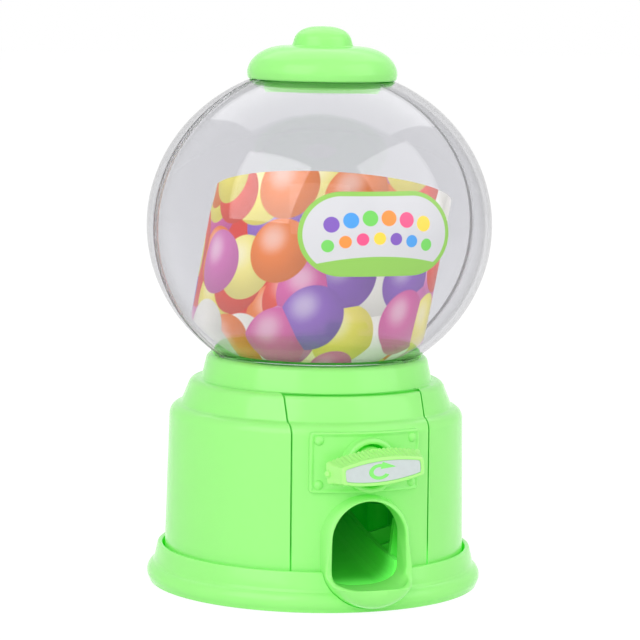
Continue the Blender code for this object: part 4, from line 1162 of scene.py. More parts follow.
# Front panel
@dataclass
class Mouth:
    """The arched mouth, its flared rim, and the tray that reaches out under it.

    The rim's section is given as (outwards from the opening, share of the way from the panel to the front).
    """

    body: StepBody
    half_width: float = 9.2
    top_z: float = 26.15
    floor_z: float = 5.2
    corner_power: float = 0.78
    rim: float = 1.7
    arch_thinning: float = 0.22
    front_y: float = -38.95
    back_y: float = -34.5
    inside_y: float = -33.3
    inside_start: float = 0.75
    tray_y: float = -37.45
    root_step: float = 0.4
    reach: float = 9.6
    wall: float = 1.1
    fullness: float = 3.6
    inner_fullness: float = 6.0
    lip_start_y: float = -36.65
    lip_run: float = 5.6
    lip_back_z: float = 10.2
    lip_front_z: float = 6.4
    lip_near: float = 0.5
    lip_bulge: Point3 = (0.0, -0.14, 0.12)
    tip_bulge: Point3 = (0.0, -0.12, 0.0)
    bottom_z: float = 1.0
    spread: float = 0.9
    spread_start: float = 1.0
    spread_run: float = 3.0
    panel_draft: float = 0.0218
    steps: int = 48
    flank: tuple[Point2, ...] = (
        (1.84, -0.3), (1.79, 0.0), (1.73, 0.16), (1.65, 0.32), (1.55, 0.47), (1.43, 0.6),
        (1.3, 0.71), (1.15, 0.81), (0.99, 0.88), (0.82, 0.94), (0.65, 0.975),
    )
    crest: tuple[Point2, ...] = ((0.49, 0.995), (0.35, 1.0), (0.22, 0.985), (0.11, 0.945), (0.04, 0.88))
    lip_round: tuple[Point2, ...] = ((0.08, 0.55), (0.25, 0.95), (0.5, 1.0), (0.75, 0.85), (0.93, 0.4))

    def surround(self, grow: float, steps: int) -> list[Point2]:
        """Draws the front outline of the rim and of the tray below it.

        Args:
            grow: How far it is grown outwards.
            steps: Stretches of each half.

        Returns:
            The points, as (x, z).
        """
        half = self.half_width + self.rim + grow
        depth = self.lip_back_z - self.bottom_z + grow
        outline = arc((0.0, self.top_z - self.half_width), half, 0, 180, steps)
        for i in range(steps + 1):
            turn = math.radians(180 + 180 * i / steps)
            outline.append((half * math.cos(turn), self.lip_back_z + depth * math.sin(turn)))
        return outline

    def opening(self, grow: float, steps: int) -> list[Point2]:
        """Draws the inner outline of the mouth, point for point beside the surround.

        Args:
            grow: How far it is grown outwards.
            steps: Stretches of each half.

        Returns:
            The points, as (x, z).
        """
        half = self.half_width + grow
        depth = self.lip_back_z - self.floor_z + grow
        outline = arc((0.0, self.top_z - self.half_width), half, 0, 180, steps)
        for i in range(steps + 1):
            across, drop = self.squared(180 + 180 * i / steps)
            outline.append((half * across, self.lip_back_z - depth * drop))
        return outline

    def squared(self, angle: float) -> Point2:
        """Finds a direction below the horizon on an outline with tight corners.

        Args:
            angle: The direction on a plain circle, in degrees.

        Returns:
            The direction, as (across, drop).
        """
        turn = math.radians(angle)
        across = math.copysign(abs(math.cos(turn)) ** self.corner_power, math.cos(turn))
        return across, max(0.0, -math.sin(turn)) ** self.corner_power

    def panel_y(self, x: float, z: float) -> float:
        """Where the curved panel's outer face is."""
        radius = self.body.foot_radius - self.panel_draft * (z - self.body.foot_z)
        return -math.sqrt(radius**2 - x**2)

    def lip_z(self, y: float) -> float:
        """Height of the tray's lip: it slopes down from the rim, and then runs level."""
        share = min(1.0, max(0.0, (self.lip_start_y - y) / self.lip_run))
        return self.lip_back_z + (self.lip_front_z - self.lip_back_z) * share

    def arch_section(self, angle: float) -> list[Point3]:
        """Cuts the rim's arch, from the panel over the crest and back inside.

        Args:
            angle: Where the cut is, in degrees from the right.

        Returns:
            The section's points.
        """
        turn = math.radians(angle)
        thin = 1 - self.arch_thinning * math.sin(turn) ** 2
        middle = self.top_z - self.half_width
        found = []
        for grow, share in self.flank + self.crest:
            radius = self.half_width + grow * thin
            x, z = radius * math.cos(turn), middle + radius * math.sin(turn)
            found.append((x, self.panel_y(x, z) * (1 - share) + self.front_y * share, z))
        x, z = self.half_width * math.cos(turn), middle + self.half_width * math.sin(turn)
        start = self.panel_y(x, z) * (1 - self.inside_start) + self.front_y * self.inside_start
        count = len(self.flank)
        for i in range(count):
            found.append((x, start + (self.inside_y - start) * i / (count - 1), z))
        return found

    def outer_spot(self, angle: float, rise: float) -> Point3:
        """Finds a place on the tray's outer face.

        Args:
            angle: Angle round the tray, in degrees from the right.
            rise: 0 at the tray's root and 90 at its tip.

        Returns:
            The place.
        """
        turn, lean = math.radians(angle), math.radians(rise)
        ahead = math.sin(lean) ** (2 / self.fullness)
        near = max(0.0, math.cos(lean)) ** (2 / self.fullness)
        half = self.half_width + self.rim
        depth = self.lip_back_z - self.bottom_z
        z = self.lip_back_z + depth * math.sin(turn) * near
        return half * math.cos(turn) * near, self.tray_y - self.reach * ahead, z

    def inner_spot(self, angle: float, rise: float) -> Point3:
        """Finds a place on the tray's inner face, which widens in front of the mouth.

        Args:
            angle: Angle round the tray, in degrees from the right.
            rise: 0 at the tray's root and 90 at its tip.

        Returns:
            The place.
        """
        lean = math.radians(rise)
        across, drop = self.squared(angle)
        ahead = math.sin(lean) ** (2 / self.inner_fullness)
        near = max(0.0, math.cos(lean)) ** (2 / self.inner_fullness)
        y = self.tray_y - (self.reach - self.wall) * ahead
        wide = min(1.0, max(0.0, (self.front_y + self.spread_start - y) / self.spread_run))
        half = self.half_width + self.spread * wide * wide * (3 - 2 * wide)
        return half * across * near, y, self.lip_back_z - (self.lip_back_z - self.floor_z) * drop * near

    def lip_rise(self, spot: Callable[[float, float], Point3], angle: float) -> float:
        """Finds where a face of the tray meets the lip, but not behind the rim's front.

        Args:
            spot: The face, as a function of angle and rise.
            angle: Angle round the tray, in degrees.

        Returns:
            The rise there.
        """
        low, high = 0.0, 89.0
        for _ in range(40):
            middle = (low + high) / 2
            _, y, z = spot(angle, middle)
            if y > self.front_y or z < self.lip_z(y):
                low = middle
            else:
                high = middle
        return high

    def tray_section(self, angle: float) -> list[Point3]:
        """Cuts the tray, from its root over the lip and back inside.

        Args:
            angle: Where the cut is, in degrees from the right.

        Returns:
            The section's points, as many as the arch's.
        """
        count = len(self.flank)
        out_rise = self.lip_rise(self.outer_spot, angle)
        in_rise = self.lip_rise(self.inner_spot, angle)
        root_x, _, root_z = self.outer_spot(angle, 0.0)
        found: list[Point3] = [(root_x, self.back_y, root_z), (root_x, self.tray_y + self.root_step, root_z)]
        found += [self.outer_spot(angle, out_rise * i / (count - 2)) for i in range(1, count - 1)]
        outer, inner = Vector(found[-1]), Vector(self.inner_spot(angle, in_rise))
        on_lip = self.lip_z(outer.y) < outer.z + self.lip_near
        bulge = Vector(self.lip_bulge if on_lip else self.tip_bulge)
        for share, height in self.lip_round:
            found.append(tuple(outer.lerp(inner, share) + bulge * height))
        found += [self.inner_spot(angle, in_rise * (1 - i / (count - 2))) for i in range(count - 1)]
        wall_x, _, wall_z = self.inner_spot(angle, 0.0)
        found.append((wall_x, self.inside_y, wall_z))
        return found

    def build(self) -> bpy.types.Object:
        """Makes the rim and the tray as one ring-shaped solid.

        Returns:
            The solid.
        """
        sections = [self.arch_section(180 * i / self.steps) for i in range(self.steps + 1)]
        sections += [self.tray_section(180 + 180 * i / self.steps) for i in range(self.steps + 1)]
        return skin("mouth_rim", [list(row) for row in zip(*sections)], ring=True)


@dataclass
class FrontPanel:
    """The front moulding: curved panel, raised plate, rivet heads, ring and mouth."""

    body: StepBody
    mouth: Mouth
    ledge: float = 0.6
    hole_back_y: float = -20.0
    mouth_overlap: float = 1.0
    plate_half_width: float = 13.8
    plate_half_height: float = 7.2
    plate_z: float = 35.3
    plate_radius: float = 36.9
    plate_back_radius: float = 34.6
    plate_corner: float = 0.9
    plate_least_corner: float = 0.25
    plate_edge: float = 0.3
    plate_steps: int = 32
    border_width: float = 0.4
    border_height: float = 0.42
    border_slope: tuple[Point2, ...] = ((0.0, 0.06), (0.2, 0.3), (0.4, 0.7), (0.6, 0.94), (0.8, 1.0))
    face_shares: tuple[float, ...] = (0.3, 0.5, 0.7, 0.85, 0.95)
    rivet_radius: float = 1.25
    rivet_x: float = 11.6
    rivet_z: float = 5.3
    rivet_sink: float = 0.35
    rivet_depth: float = 1.15
    ring_outer: float = 6.55
    ring_inner: float = 5.15
    ring_flare: float = 0.2
    ring_sink: float = 0.7
    ring_step: float = 0.6
    ring_front_y: float = -39.8
    ring_back_y: float = -28.6
    ring_steps: int = 72

    def plate_row(self, inset: float, radius: float) -> list[Point3]:
        """Draws a rounded rectangle of the plate, wrapped round the body's axis.

        Args:
            inset: How far it is drawn in from the plate's edge.
            radius: How far it is from the axis.

        Returns:
            The points.
        """
        half_x, half_z = self.plate_half_width - inset, self.plate_half_height - inset
        corner = min(half_z, max(self.plate_least_corner, self.plate_corner - inset))
        flat_x, flat_z = half_x - corner, half_z - corner
        outline: list[Point2] = []
        for i, (side_x, side_z) in enumerate(((1, 1), (-1, 1), (-1, -1), (1, -1))):
            outline += arc((side_x * flat_x, side_z * flat_z), corner, 90 * i, 90 * i + 90, 6)
            if side_x == side_z:
                shares = [1 - 2 * j / self.plate_steps for j in range(1, self.plate_steps)]
                outline += [(side_x * flat_x * share, side_z * half_z) for share in shares]
        return [(x, -math.sqrt(radius**2 - x**2), self.plate_z + z) for x, z in outline]

    def plate(self) -> bpy.types.Object:
        """Makes the raised plate with its narrow border, bent round the body's axis.

        Returns:
            The solid.
        """
        edge = self.plate_edge
        top = self.plate_radius + self.border_height
        rows = [self.plate_row(0.0, self.plate_back_radius)]
        rows += [self.plate_row(edge - x, top - edge + y) for x, y in arc((0.0, 0.0), edge, 0, 90, 4)]
        for inset, share in self.border_slope:
            rows.append(self.plate_row(self.border_width + inset, top - self.border_height * share))
        for share in self.face_shares:
            rows.append(self.plate_row(self.plate_half_height * share, self.plate_radius))
        return skin("plate", rows)

    def ring(self) -> bpy.types.Object:
        """Makes the ring round the knob's hub, with a rounded lip.

        Returns:
            The solid.
        """
        lip = (self.ring_outer - self.ring_inner) / 2
        lip_centre = ((self.ring_outer + self.ring_inner) / 2, -self.ring_front_y - lip)
        root = self.ring_outer + self.ring_flare
        profile = [(root, self.ring_sink - self.plate_radius)]
        profile.append((self.ring_outer, -self.plate_radius - self.ring_step))
        profile += [(radius, -y) for radius, y in arc(lip_centre, lip, 0, 180, 10)]
        profile += [(self.ring_inner, self.ring_back_y), (root, self.ring_back_y)]
        return turned("ring", profile, KNOB_AXIS_Z, self.ring_steps, ring=True)

    def blank(self) -> bpy.types.Object:
        """Makes the curved panel that fills the body's front gap.

        Returns:
            The solid.
        """
        top = self.body.tier1_z - self.body.panel_gap
        bore = self.body.bore_radius + self.ledge
        side = [(radius, min(z, top)) for radius, z in self.body.side()]
        outline = side + [(bore, top), (bore, self.body.tier1_z - self.body.wall)] + self.body.inside()
        panel = revolve("front_panel_fine", outline)
        half = self.body.panel_half_width - self.body.panel_gap / 2
        kept = block("panel_keep", (-half, -FAR, -OVERCUT), (half, self.body.panel_back_y, FAR))
        return combine(panel, kept, Join.KEEP)

    def build(self, finishes: Finishes) -> None:
        """Makes the panel in one solid, and dresses it.

        Args:
            finishes: The shared materials.
        """
        panel = self.blank()
        combine(panel, self.plate(), Join.ADD)
        hole = circle((0.0, KNOB_AXIS_Z), (self.ring_outer + self.ring_inner) / 2, self.ring_steps)
        combine(panel, prism("ring_hole", hole, -FAR, self.hole_back_y), Join.CUT)
        combine(panel, self.ring(), Join.ADD)
        rivet_y = self.rivet_sink - math.sqrt(self.plate_radius**2 - self.rivet_x**2)
        for side_x in (-1, 1):
            for side_z in (-1, 1):
                centre = (side_x * self.rivet_x, rivet_y, self.plate_z + side_z * self.rivet_z)
                combine(panel, dome("rivet", centre, self.rivet_radius, self.rivet_depth), Join.ADD)
        opening = self.mouth.opening(self.mouth_overlap, 30)
        combine(panel, prism("mouth_hole", opening, -FAR, self.hole_back_y), Join.CUT)
        combine(panel, self.mouth.build(), Join.ADD)
        wear(panel, finishes.green)
        # Inner faces get painted shade and glow.
        line_inside(panel, self.body.foot_radius - self.body.wall / 2, finishes.green_painted_shade_and_glow)
        present(panel, Body.FRAME, ["front_panel"])


# Knob
@dataclass
class Knob:
    """The ribbed bar knob, its hub and shaft, and the silver film in its face."""

    turn: float = 5.2
    front_y: float = -47.1
    back_y: float = -40.5
    half_length: float = 10.15
    half_height: float = 3.25
    end_half_height: float = 1.95
    back_spread: float = 1.7
    back_rise: float = 1.1
    back_end_rise: float = 0.6
    back_round: float = 0.3
    back_shrink: Point2 = (0.97, 0.9)
    blunt: float = 0.7
    blunt_share: float = 0.5
    bezel: float = 0.8
    bezel_step: float = 0.08
    bezel_shares: tuple[float, ...] = (0.8, 0.6, 0.4)
    rib_start: float = 0.04
    rib_pitch: float = 1.05
    rib_depth: float = 0.27
    rib_power: float = 1.6
    face_share: float = 0.05
    face_depth: float = 0.3
    face_rounds: tuple[Point3, ...] = ((0.99, 0.97, 0.08), (0.975, 0.93, 0.0))
    film_border: float = 0.75
    film_end_share: float = 0.7
    film_depth: float = 0.3
    film_gap: float = 0.1
    film_sink: float = 0.15
    film_lift: float = 0.05
    hub_radius: float = 4.4
    hub_edge: float = 0.4
    hub_sink: float = 1.0
    hub_end_y: float = -35.3
    shaft_radius: float = 3.2
    shaft_end_radius: float = 2.0
    drum_gap: float = 0.3
    stem_steps: int = 48
    nub_radius: float = 0.8
    nub_depth: float = 0.75
    nub_out: float = 1.65
    nub_ahead: float = 1.1
    mark_inner: float = 1.1
    mark_outer: float = 1.85
    mark_start: float = 75.0
    mark_end: float = 330.0
    mark_stretch: float = 1.44
    mark_shift: float = -0.9
    mark_head: float = 2.6
    mark_head_half: float = 0.85
    mark_rows: Point2 = (0.02, -0.05)

    def lens(self, long: float, high: float, end: float, ribs: float, steps: int = 132) -> list[Point2]:
        """Draws a lens about the axis, with blunt rounded ends and ribs along its two long sides.

        Args:
            long: Half its length.
            high: Half its height in the middle.
            end: Half its height at the ends.
            ribs: How deep the ribs are cut.
            steps: Stretches along each long side.

        Returns:
            The outline, as (x, z).
        """
        rise = high - end
        radius = (long**2 + rise**2) / (2 * rise)
        blunt = min(self.blunt, end * self.blunt_share)
        outline: list[Point2] = []
        for sign in (1, -1):
            for i in range(steps + 1):
                x = (long - blunt) * (1 - 2 * i / steps)
                wave = 0.5 - 0.5 * math.cos(math.tau * (x / self.rib_pitch + 0.5))
                z = high - radius + math.sqrt(radius**2 - x**2) - ribs * wave**self.rib_power
                outline.append((x * sign, z * sign))
            outline += self.blunt_end(sign, long, blunt, outline[-1][1])
        return outline

    def blunt_end(self, sign: int, long: float, blunt: float, z_end: float) -> list[Point2]:
        """Draws one rounded end of the lens.

        Args:
            sign: 1 for the end at the left, and -1 for the one at the right.
            long: Half the lens's length.
            blunt: Radius of the end's corners.
            z_end: Where the long side before it ends.

        Returns:
            The points between the two long sides, as (x, z).
        """
        corner = -(long - blunt) * sign
        found: list[Point2] = []
        for lean in (math.radians(30), math.radians(60)):
            out, down = blunt * math.sin(lean), blunt * (1 - math.cos(lean))
            found.append((corner - sign * out, z_end - sign * down))
        flat = [(-long * sign, (z_end - sign * blunt) * share) for share in (0.6, 0.0, -0.6)]
        return found + flat + [(x, -z) for x, z in reversed(found)]

    def mixed(self, share: float, ribs: float) -> list[Point2]:
        """Draws the bar between its face and its back.

        Args:
            share: 0 at the face and 1 at the back.
            ribs: How deep the ribs are cut.

        Returns:
            The outline, as (x, z).
        """
        return self.lens(
            self.half_length + self.back_spread * share,
            self.half_height + self.back_rise * share,
            self.end_half_height + self.back_end_rise * share,
            ribs,
        )

    def settle(self, obj: bpy.types.Object) -> bpy.types.Object:
        """Turns a mesh that was made about the origin to the knob's resting angle, on its axis.

        Args:
            obj: The object whose mesh is turned.

        Returns:
            The same object.
        """
        spin = Matrix.Rotation(math.radians(-self.turn), 4, "Y")
        obj.data.transform(Matrix.Translation((0, 0, KNOB_AXIS_Z * MM)) @ spin)
        return obj

    def bar(self) -> bpy.types.Object:
        """Makes the bar itself, with the seat for the film.

        Returns:
            The solid.
        """
        depth = self.back_y - self.front_y
        bezel_share = self.bezel / depth
        shrink_x, shrink_z = self.back_shrink
        rows = [([(x * shrink_x, z * shrink_z) for x, z in self.mixed(1.0, 0.0)], self.back_y)]
        rows.append((self.mixed(1.0, self.rib_depth), self.back_y - self.back_round))
        for share in (*self.bezel_shares, bezel_share + self.rib_start):
            rows.append((self.mixed(share, self.rib_depth), self.front_y + depth * share))
        rows.append((self.mixed(bezel_share, 0.0), self.front_y + self.bezel - self.bezel_step))
        rows.append((self.mixed(self.face_share, 0.0), self.front_y + self.face_depth))
        for along, up, back in self.face_rounds:
            rows.append(([(x * along, z * up) for x, z in self.mixed(0.0, 0.0)], self.front_y + back))
        seat = self.film_outline(0.0)
        rows.append((seat, self.front_y))
        rows.append((seat, self.front_y + self.film_depth + self.film_sink))
        return skin("knob_bar", [[(x, y, z) for x, z in outline] for outline, y in rows])

    def film_outline(self, clear: float) -> list[Point2]:
        """Draws the film, or its seat.

        Args:
            clear: How far the film stays inside its seat.

        Returns:
            The outline, as (x, z).
        """
        border = self.film_border + clear
        end = self.end_half_height - border * self.film_end_share
        return self.lens(self.half_length - border, self.half_height - border, end, 0.0)

    def stem(self) -> bpy.types.Object:
        """Makes the hub and the shaft behind it, in one turned piece.

        Returns:
            The solid.
        """
        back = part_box("knob")[1].y / MM
        start = self.back_y - self.hub_sink
        shaft_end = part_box("drum")[0].y / MM - self.drum_gap
        profile = [(0.0, start), (self.hub_radius, start), (self.hub_radius, self.hub_end_y - self.hub_edge)]
        profile.append((self.hub_radius - self.hub_edge, self.hub_end_y))
        profile += [(self.shaft_radius, self.hub_end_y), (self.shaft_radius, shaft_end)]
        profile += [(self.shaft_end_radius, shaft_end), (self.shaft_end_radius, back), (0.0, back)]
        return turned("stem", profile, 0.0, self.stem_steps)

    def turn_mark(self) -> bpy.types.Object:
        """Makes the round arrow on the film: an open ring with a pointed head.

        Returns:
            The solid.
        """
        rim = arc((0.0, 0.0), self.mark_outer, self.mark_start, self.mark_end, 28)
        back = arc((0.0, 0.0), self.mark_inner, self.mark_end, self.mark_start, 28)
        lean = math.radians(self.mark_start)
        across = Vector((math.cos(lean), math.sin(lean)))
        along = Vector((math.sin(lean), -math.cos(lean)))
        centre = across * ((self.mark_inner + self.mark_outer) / 2)
        aside = across * self.mark_head_half
        head = [tuple(point) for point in (centre - aside, centre + along * self.mark_head, centre + aside)]
        outline = [(self.mark_stretch * x + self.mark_shift, z) for x, z in head + rim + back]
        seat_y = self.front_y + self.film_sink
        return skin("turn_mark", [[(x, seat_y + y, z) for x, z in outline] for y in self.mark_rows])

    def build(self, finishes: Finishes) -> None:
        """Makes the knob and its film, and dresses them.

        Args:
            finishes: The shared materials.
        """
        knob = self.bar()
        knob.name = "knob_fine"
        combine(knob, self.stem(), Join.ADD)
        nub_place = (-self.half_length - self.nub_out, self.back_y - self.nub_ahead, 0.0)
        combine(knob, dome("nub", nub_place, self.nub_radius, self.nub_depth), Join.ADD)
        wear(self.settle(knob), finishes.knob)
        present(knob, Body.GEAR, ["knob"])
        top_y = self.front_y + self.film_sink
        seat_y = self.front_y + self.film_depth + self.film_sink
        film = prism("knob_film", self.film_outline(self.film_gap), seat_y - self.film_lift, top_y)
        wear(self.settle(film), finishes.silver)
        present(film, Body.GEAR, ["knob_sticker"])
        mark = wear(self.settle(self.turn_mark()), finishes.mark)
        present(mark, Body.GEAR, [])


# Globe, lid, print and label
@dataclass
class Globe:
    """The oblate clear shell in two halves."""

    radius: float = 42.3
    half_height: float = 39.1
    z: float = 88.1
    wall: float = 1.6
    foot_radius: float = 25.2
    foot_length: float = 5.0
    neck_radius: float = 16.2
    neck_height: float = 3.2
    tongue: float = 1.5
    gap: float = 0.3
    steps: int = 84
    smooth_angle: float = 40.0

    def height_at(self, radius: float) -> float:
        """Height of the upper outer face at a radius."""
        return self.z + self.half_height * math.sqrt(1 - (radius / self.radius) ** 2)

    def neck_top(self) -> float:
        """Height of the neck's upper edge."""
        return self.height_at(self.neck_radius) + self.neck_height

    def line(self, inset: float, steps: int = 60) -> list[Point2]:
        """Draws one meridian of the shell, foot and neck included.

        Args:
            inset: Depth below the outer face.
            steps: Stretches between foot and neck.

        Returns:
            The points, as (radius, z).
        """
        across, up = self.radius - inset, self.half_height - inset
        foot, neck = self.foot_radius - inset, self.neck_radius - inset
        start, end = -math.acos(foot / across), math.acos(neck / across)
        found = [(foot, 2 * self.z - self.height_at(self.foot_radius) - self.foot_length)]
        for i in range(steps + 1):
            angle = start + (end - start) * i / steps
            found.append((across * math.cos(angle), self.z + up * math.sin(angle)))
        return found + [(neck, self.neck_top())]

    def half(self, name: str, front: bool) -> bpy.types.Object:
        """Makes one half, with the stepped lip that the two meet in.

        Args:
            name: The object's name.
            front: Whether it is the front half, whose lip lies outside.

        Returns:
            The solid, with its lip's faces in a second material slot.
        """
        side = -1 if front else 1
        seam = self.gap / 2
        split = self.wall / 2 + (-seam if front else seam)
        lines = [self.line(depth) for depth in (0.0, split, self.wall)]
        end_y = self.tongue + self.gap if front else seam
        count, last = len(lines[0]), self.steps
        bm = bmesh.new()

        def column(line: int, k: int) -> list[bmesh.types.BMVert]:
            """Adds one line's points at a step round the axis, short of the lip.

            Args:
                line: The line's number, from the outside in.
                k: The step's number.

            Returns:
                The points.
            """
            angle = math.pi * k / last
            found = []
            for radius, z in lines[line]:
                y = end_y if k in (0, last) else max(radius * math.sin(angle), end_y)
                found.append(bm.verts.new((radius * math.cos(angle), side * y, z)))
            return found

        outer = [column(0, k) for k in range(last + 1)]
        inner = [column(2, k) for k in range(last + 1)]
        for grid in (outer, inner):
            for near, far in zip(grid, grid[1:]):
                for i in range(count - 1):
                    bm.faces.new((near[i], near[i + 1], far[i + 1], far[i]))
        for k in range(1, last - 1):
            for i in (0, count - 1):
                bm.faces.new((outer[k][i], outer[k + 1][i], inner[k + 1][i], inner[k][i]))
        shell = set(bm.faces)
        stepped = []
        for k, beside in ((0, 1), (last, last - 1)):
            middle = column(1, k)
            for i in (0, count - 1):
                bm.faces.new((outer[k][i], outer[beside][i], inner[beside][i], inner[k][i], middle[i]))
            for i in range(count - 1):
                outside = bm.faces.new((outer[k][i], outer[k][i + 1], middle[i + 1], middle[i]))
                inside = bm.faces.new((middle[i], middle[i + 1], inner[k][i + 1], inner[k][i]))
                stepped.append(outside if front else inside)
        made = bmesh.ops.extrude_face_region(bm, geom=stepped)
        moved = [item for item in made["geom"] if isinstance(item, bmesh.types.BMVert)]
        shift = end_y - seam if front else -self.tongue
        bmesh.ops.translate(bm, verts=moved, vec=Vector((0, shift, 0)))
        bmesh.ops.delete(bm, geom=stepped, context="FACES")
        for face in bm.faces:
            face.material_index = int(face not in shell)
        return place(name, bm, self.smooth_angle)

    def build(self, finishes: Finishes) -> None:
        """Makes both halves, and dresses them.

        Args:
            finishes: The shared materials.
        """
        for name, front, node in (("clear_front", True, "globe_front"), ("clear_rear", False, "globe_rear")):
            piece = wear(self.half(name, front), finishes.clear, finishes.clear_seam)
            present(piece, Body.FRAME, [node])


@dataclass
class Lid:
    """The lift-off lid with its finial and plug."""

    globe: Globe
    radius: float = 18.3
    top_z: float = 131.88
    edge_across: float = 9.5
    edge_drop: float = 6.7
    wall: float = 1.7
    rim_lift: float = 0.5
    rim_round: float = 0.4
    rim_round_in: float = 0.55
    rim_round_up: float = 0.35
    finial_radius: float = 7.2
    finial_height: float = 4.8
    finial_power: float = 0.8
    finial_fillet: float = 0.5
    finial_fillet_out: float = 0.65
    plug_edge: Point2 = (0.5, 1.0)
    clearance: float = 0.4
    seat_gap: float = 0.3

    def rim_z(self) -> float:
        """Height of the lid's lower edge."""
        return self.globe.height_at(self.radius) + self.rim_lift

    def outside(self) -> list[Point2]:
        """Draws the outer face, from the lower edge up to the finial's top.

        Returns:
            The points, as (radius, z).
        """
        rim = (self.radius - self.rim_round_in, self.rim_z() + self.rim_round_up)
        fillet = (self.finial_radius + self.finial_fillet_out, self.top_z + self.finial_fillet)
        found = arc(rim, self.rim_round, -90, 0, 5)
        for across, up in arc((-1.0, -1.0), 1.0, 0, 89, 20):
            found.append((self.radius + self.edge_across * across, self.top_z + self.edge_drop * up))
        found += arc(fillet, self.finial_fillet, 270, 200, 6)
        for across, up in arc((0.0, 0.0), 1.0, 8, 90, 18):
            rise = self.top_z + self.finial_height * up**self.finial_power
            found.append((self.finial_radius * max(0.0, across) ** self.finial_power, rise))
        found[-1] = (0.0, self.top_z + self.finial_height)
        return found

    def inside(self) -> list[Point2]:
        """Draws the inner face, from the roof round the plug and the neck to the skirt.

        Returns:
            The points, as (radius, z).
        """
        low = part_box("lid")[0].z / MM
        seat = self.globe.neck_top() + self.seat_gap
        skirt = self.globe.neck_radius + self.clearance
        plug = self.globe.neck_radius - self.globe.wall - self.clearance
        bore, roof = plug - self.wall, self.top_z - self.wall
        edge_in, edge_up = self.plug_edge
        found = [(0.0, roof), (bore, roof), (bore, low), (plug - edge_in, low)]
        found += [(plug, low + edge_up), (plug, seat), (skirt, seat)]
        found.append((skirt, self.globe.height_at(skirt) + self.rim_lift))
        return found

    def build(self, finishes: Finishes) -> None:
        """Makes the lid, and dresses it.

        Args:
            finishes: The shared materials.
        """
        lid = revolve("lid_cap", self.outside() + self.inside())
        wear(lid, finishes.green, finishes.green_painted_light)
        # Faces below the lid's rim, the plug and the skirt, get painted light.
        for face in lid.data.polygons:
            face.material_index = int(face.center.z < self.rim_z() * MM)
        present(lid, Body.LID, ["lid"])


@dataclass
class PrintedSleeve:
    """The printed sheet rolled inside the globe."""

    globe: Globe
    radius: float = 29.2
    top_z: float = 95.3
    low_z: float = 58.0
    tilt: float = 7.8
    tilt_angle: float = 30.0
    lean: float = 0.185
    lean_z: float = 77.2
    spread: float = 112.0
    thickness: float = 0.4
    clearance: float = 0.85
    columns: int = 150
    rows: int = 48
    row_power: float = 1.1
    smooth_angle: float = 50.0

    def spot(self, angle: float, z: float, depth: float) -> Point3:
        """Finds a place on the sheet: it leans over to the right, and tucks in at the globe's foot.

        Args:
            angle: Angle from the front, in radians.
            z: Height.
            depth: Depth behind the printed face.

        Returns:
            The place.
        """
        share = (z - self.globe.z) / (self.globe.half_height - self.globe.wall)
        wall = (self.globe.radius - self.globe.wall) * math.sqrt(max(0.0, 1 - share**2))
        x = self.radius * math.sin(angle) + self.lean * (z - self.lean_z)
        y = -self.radius * math.cos(angle)
        reach = math.hypot(x, y)
        kept = (min(reach, wall - self.clearance) - depth) / reach
        return x * kept, y * kept, z

    def grid(
        self, bm: bmesh.types.BMesh, flat: dict[bmesh.types.BMVert, Point2], depth: float
    ) -> list[list[bmesh.types.BMVert]]:
        """Adds the points of one face of the sheet.

        Args:
            bm: The mesh.
            flat: Each point's place on the flat sheet, which is added to.
            depth: Depth behind the printed face.

        Returns:
            The points, column by column.
        """
        found = []
        for i in range(self.columns + 1):
            angle = math.radians(-self.spread + 2 * self.spread * i / self.columns)
            top = self.top_z + self.tilt * math.cos(angle + math.radians(self.tilt_angle))
            column = []
            for j in range(self.rows + 1):
                z = self.low_z + (top - self.low_z) * (j / self.rows) ** self.row_power
                vert = bm.verts.new(self.spot(angle, z, depth))
                flat[vert] = (angle * self.radius, z)
                column.append(vert)
            found.append(column)
        return found

    def build(self, finishes: Finishes) -> None:
        """Makes the sheet with its own map in millimetres, and dresses it.

        Args:
            finishes: The shared materials.
        """
        bm = bmesh.new()
        uv = bm.loops.layers.uv.new("sheet")
        flat: dict[bmesh.types.BMVert, Point2] = {}
        outer, inner = self.grid(bm, flat, 0.0), self.grid(bm, flat, self.thickness)
        for slot, grid in enumerate((outer, inner)):
            for near, far in zip(grid, grid[1:]):
                for j in range(self.rows):
                    bm.faces.new((near[j], far[j], far[j + 1], near[j + 1])).material_index = slot
        edges = []
        for i in range(self.columns):
            for j in (0, self.rows):
                edges.append((outer[i][j], outer[i + 1][j], inner[i + 1][j], inner[i][j]))
        for j in range(self.rows):
            for i in (0, self.columns):
                edges.append((outer[i][j], outer[i][j + 1], inner[i][j + 1], inner[i][j]))
        for corners in edges:
            bm.faces.new(corners).material_index = 2
        lay_flat(bm, uv, flat)
        piece = place("candy_sleeve", bm, self.smooth_angle)
        wear(piece, finishes.candy, finishes.card, finishes.card_edge)
        present(piece, Body.FRAME, ["printed_sleeve"])


@dataclass(frozen=True)
class DotRow:
    """A row of plain dots on the label."""

    up: float
    radius: float
    count: int
    pitch: float
    first_colour: int
    bend: float = -0.012

    def dots(self) -> list[tuple[float, float, float, Colour]]:
        """Lays out the row.

        Returns:
            Each dot's place across and up, its radius and its paint.
        """
        found = []
        for i in range(self.count):
            across = (i - (self.count - 1) / 2) * self.pitch
            paint = DOT_COLOURS[(i + self.first_colour) % len(DOT_COLOURS)]
            found.append((across, self.up + self.bend * across**2, self.radius, paint))
        return found


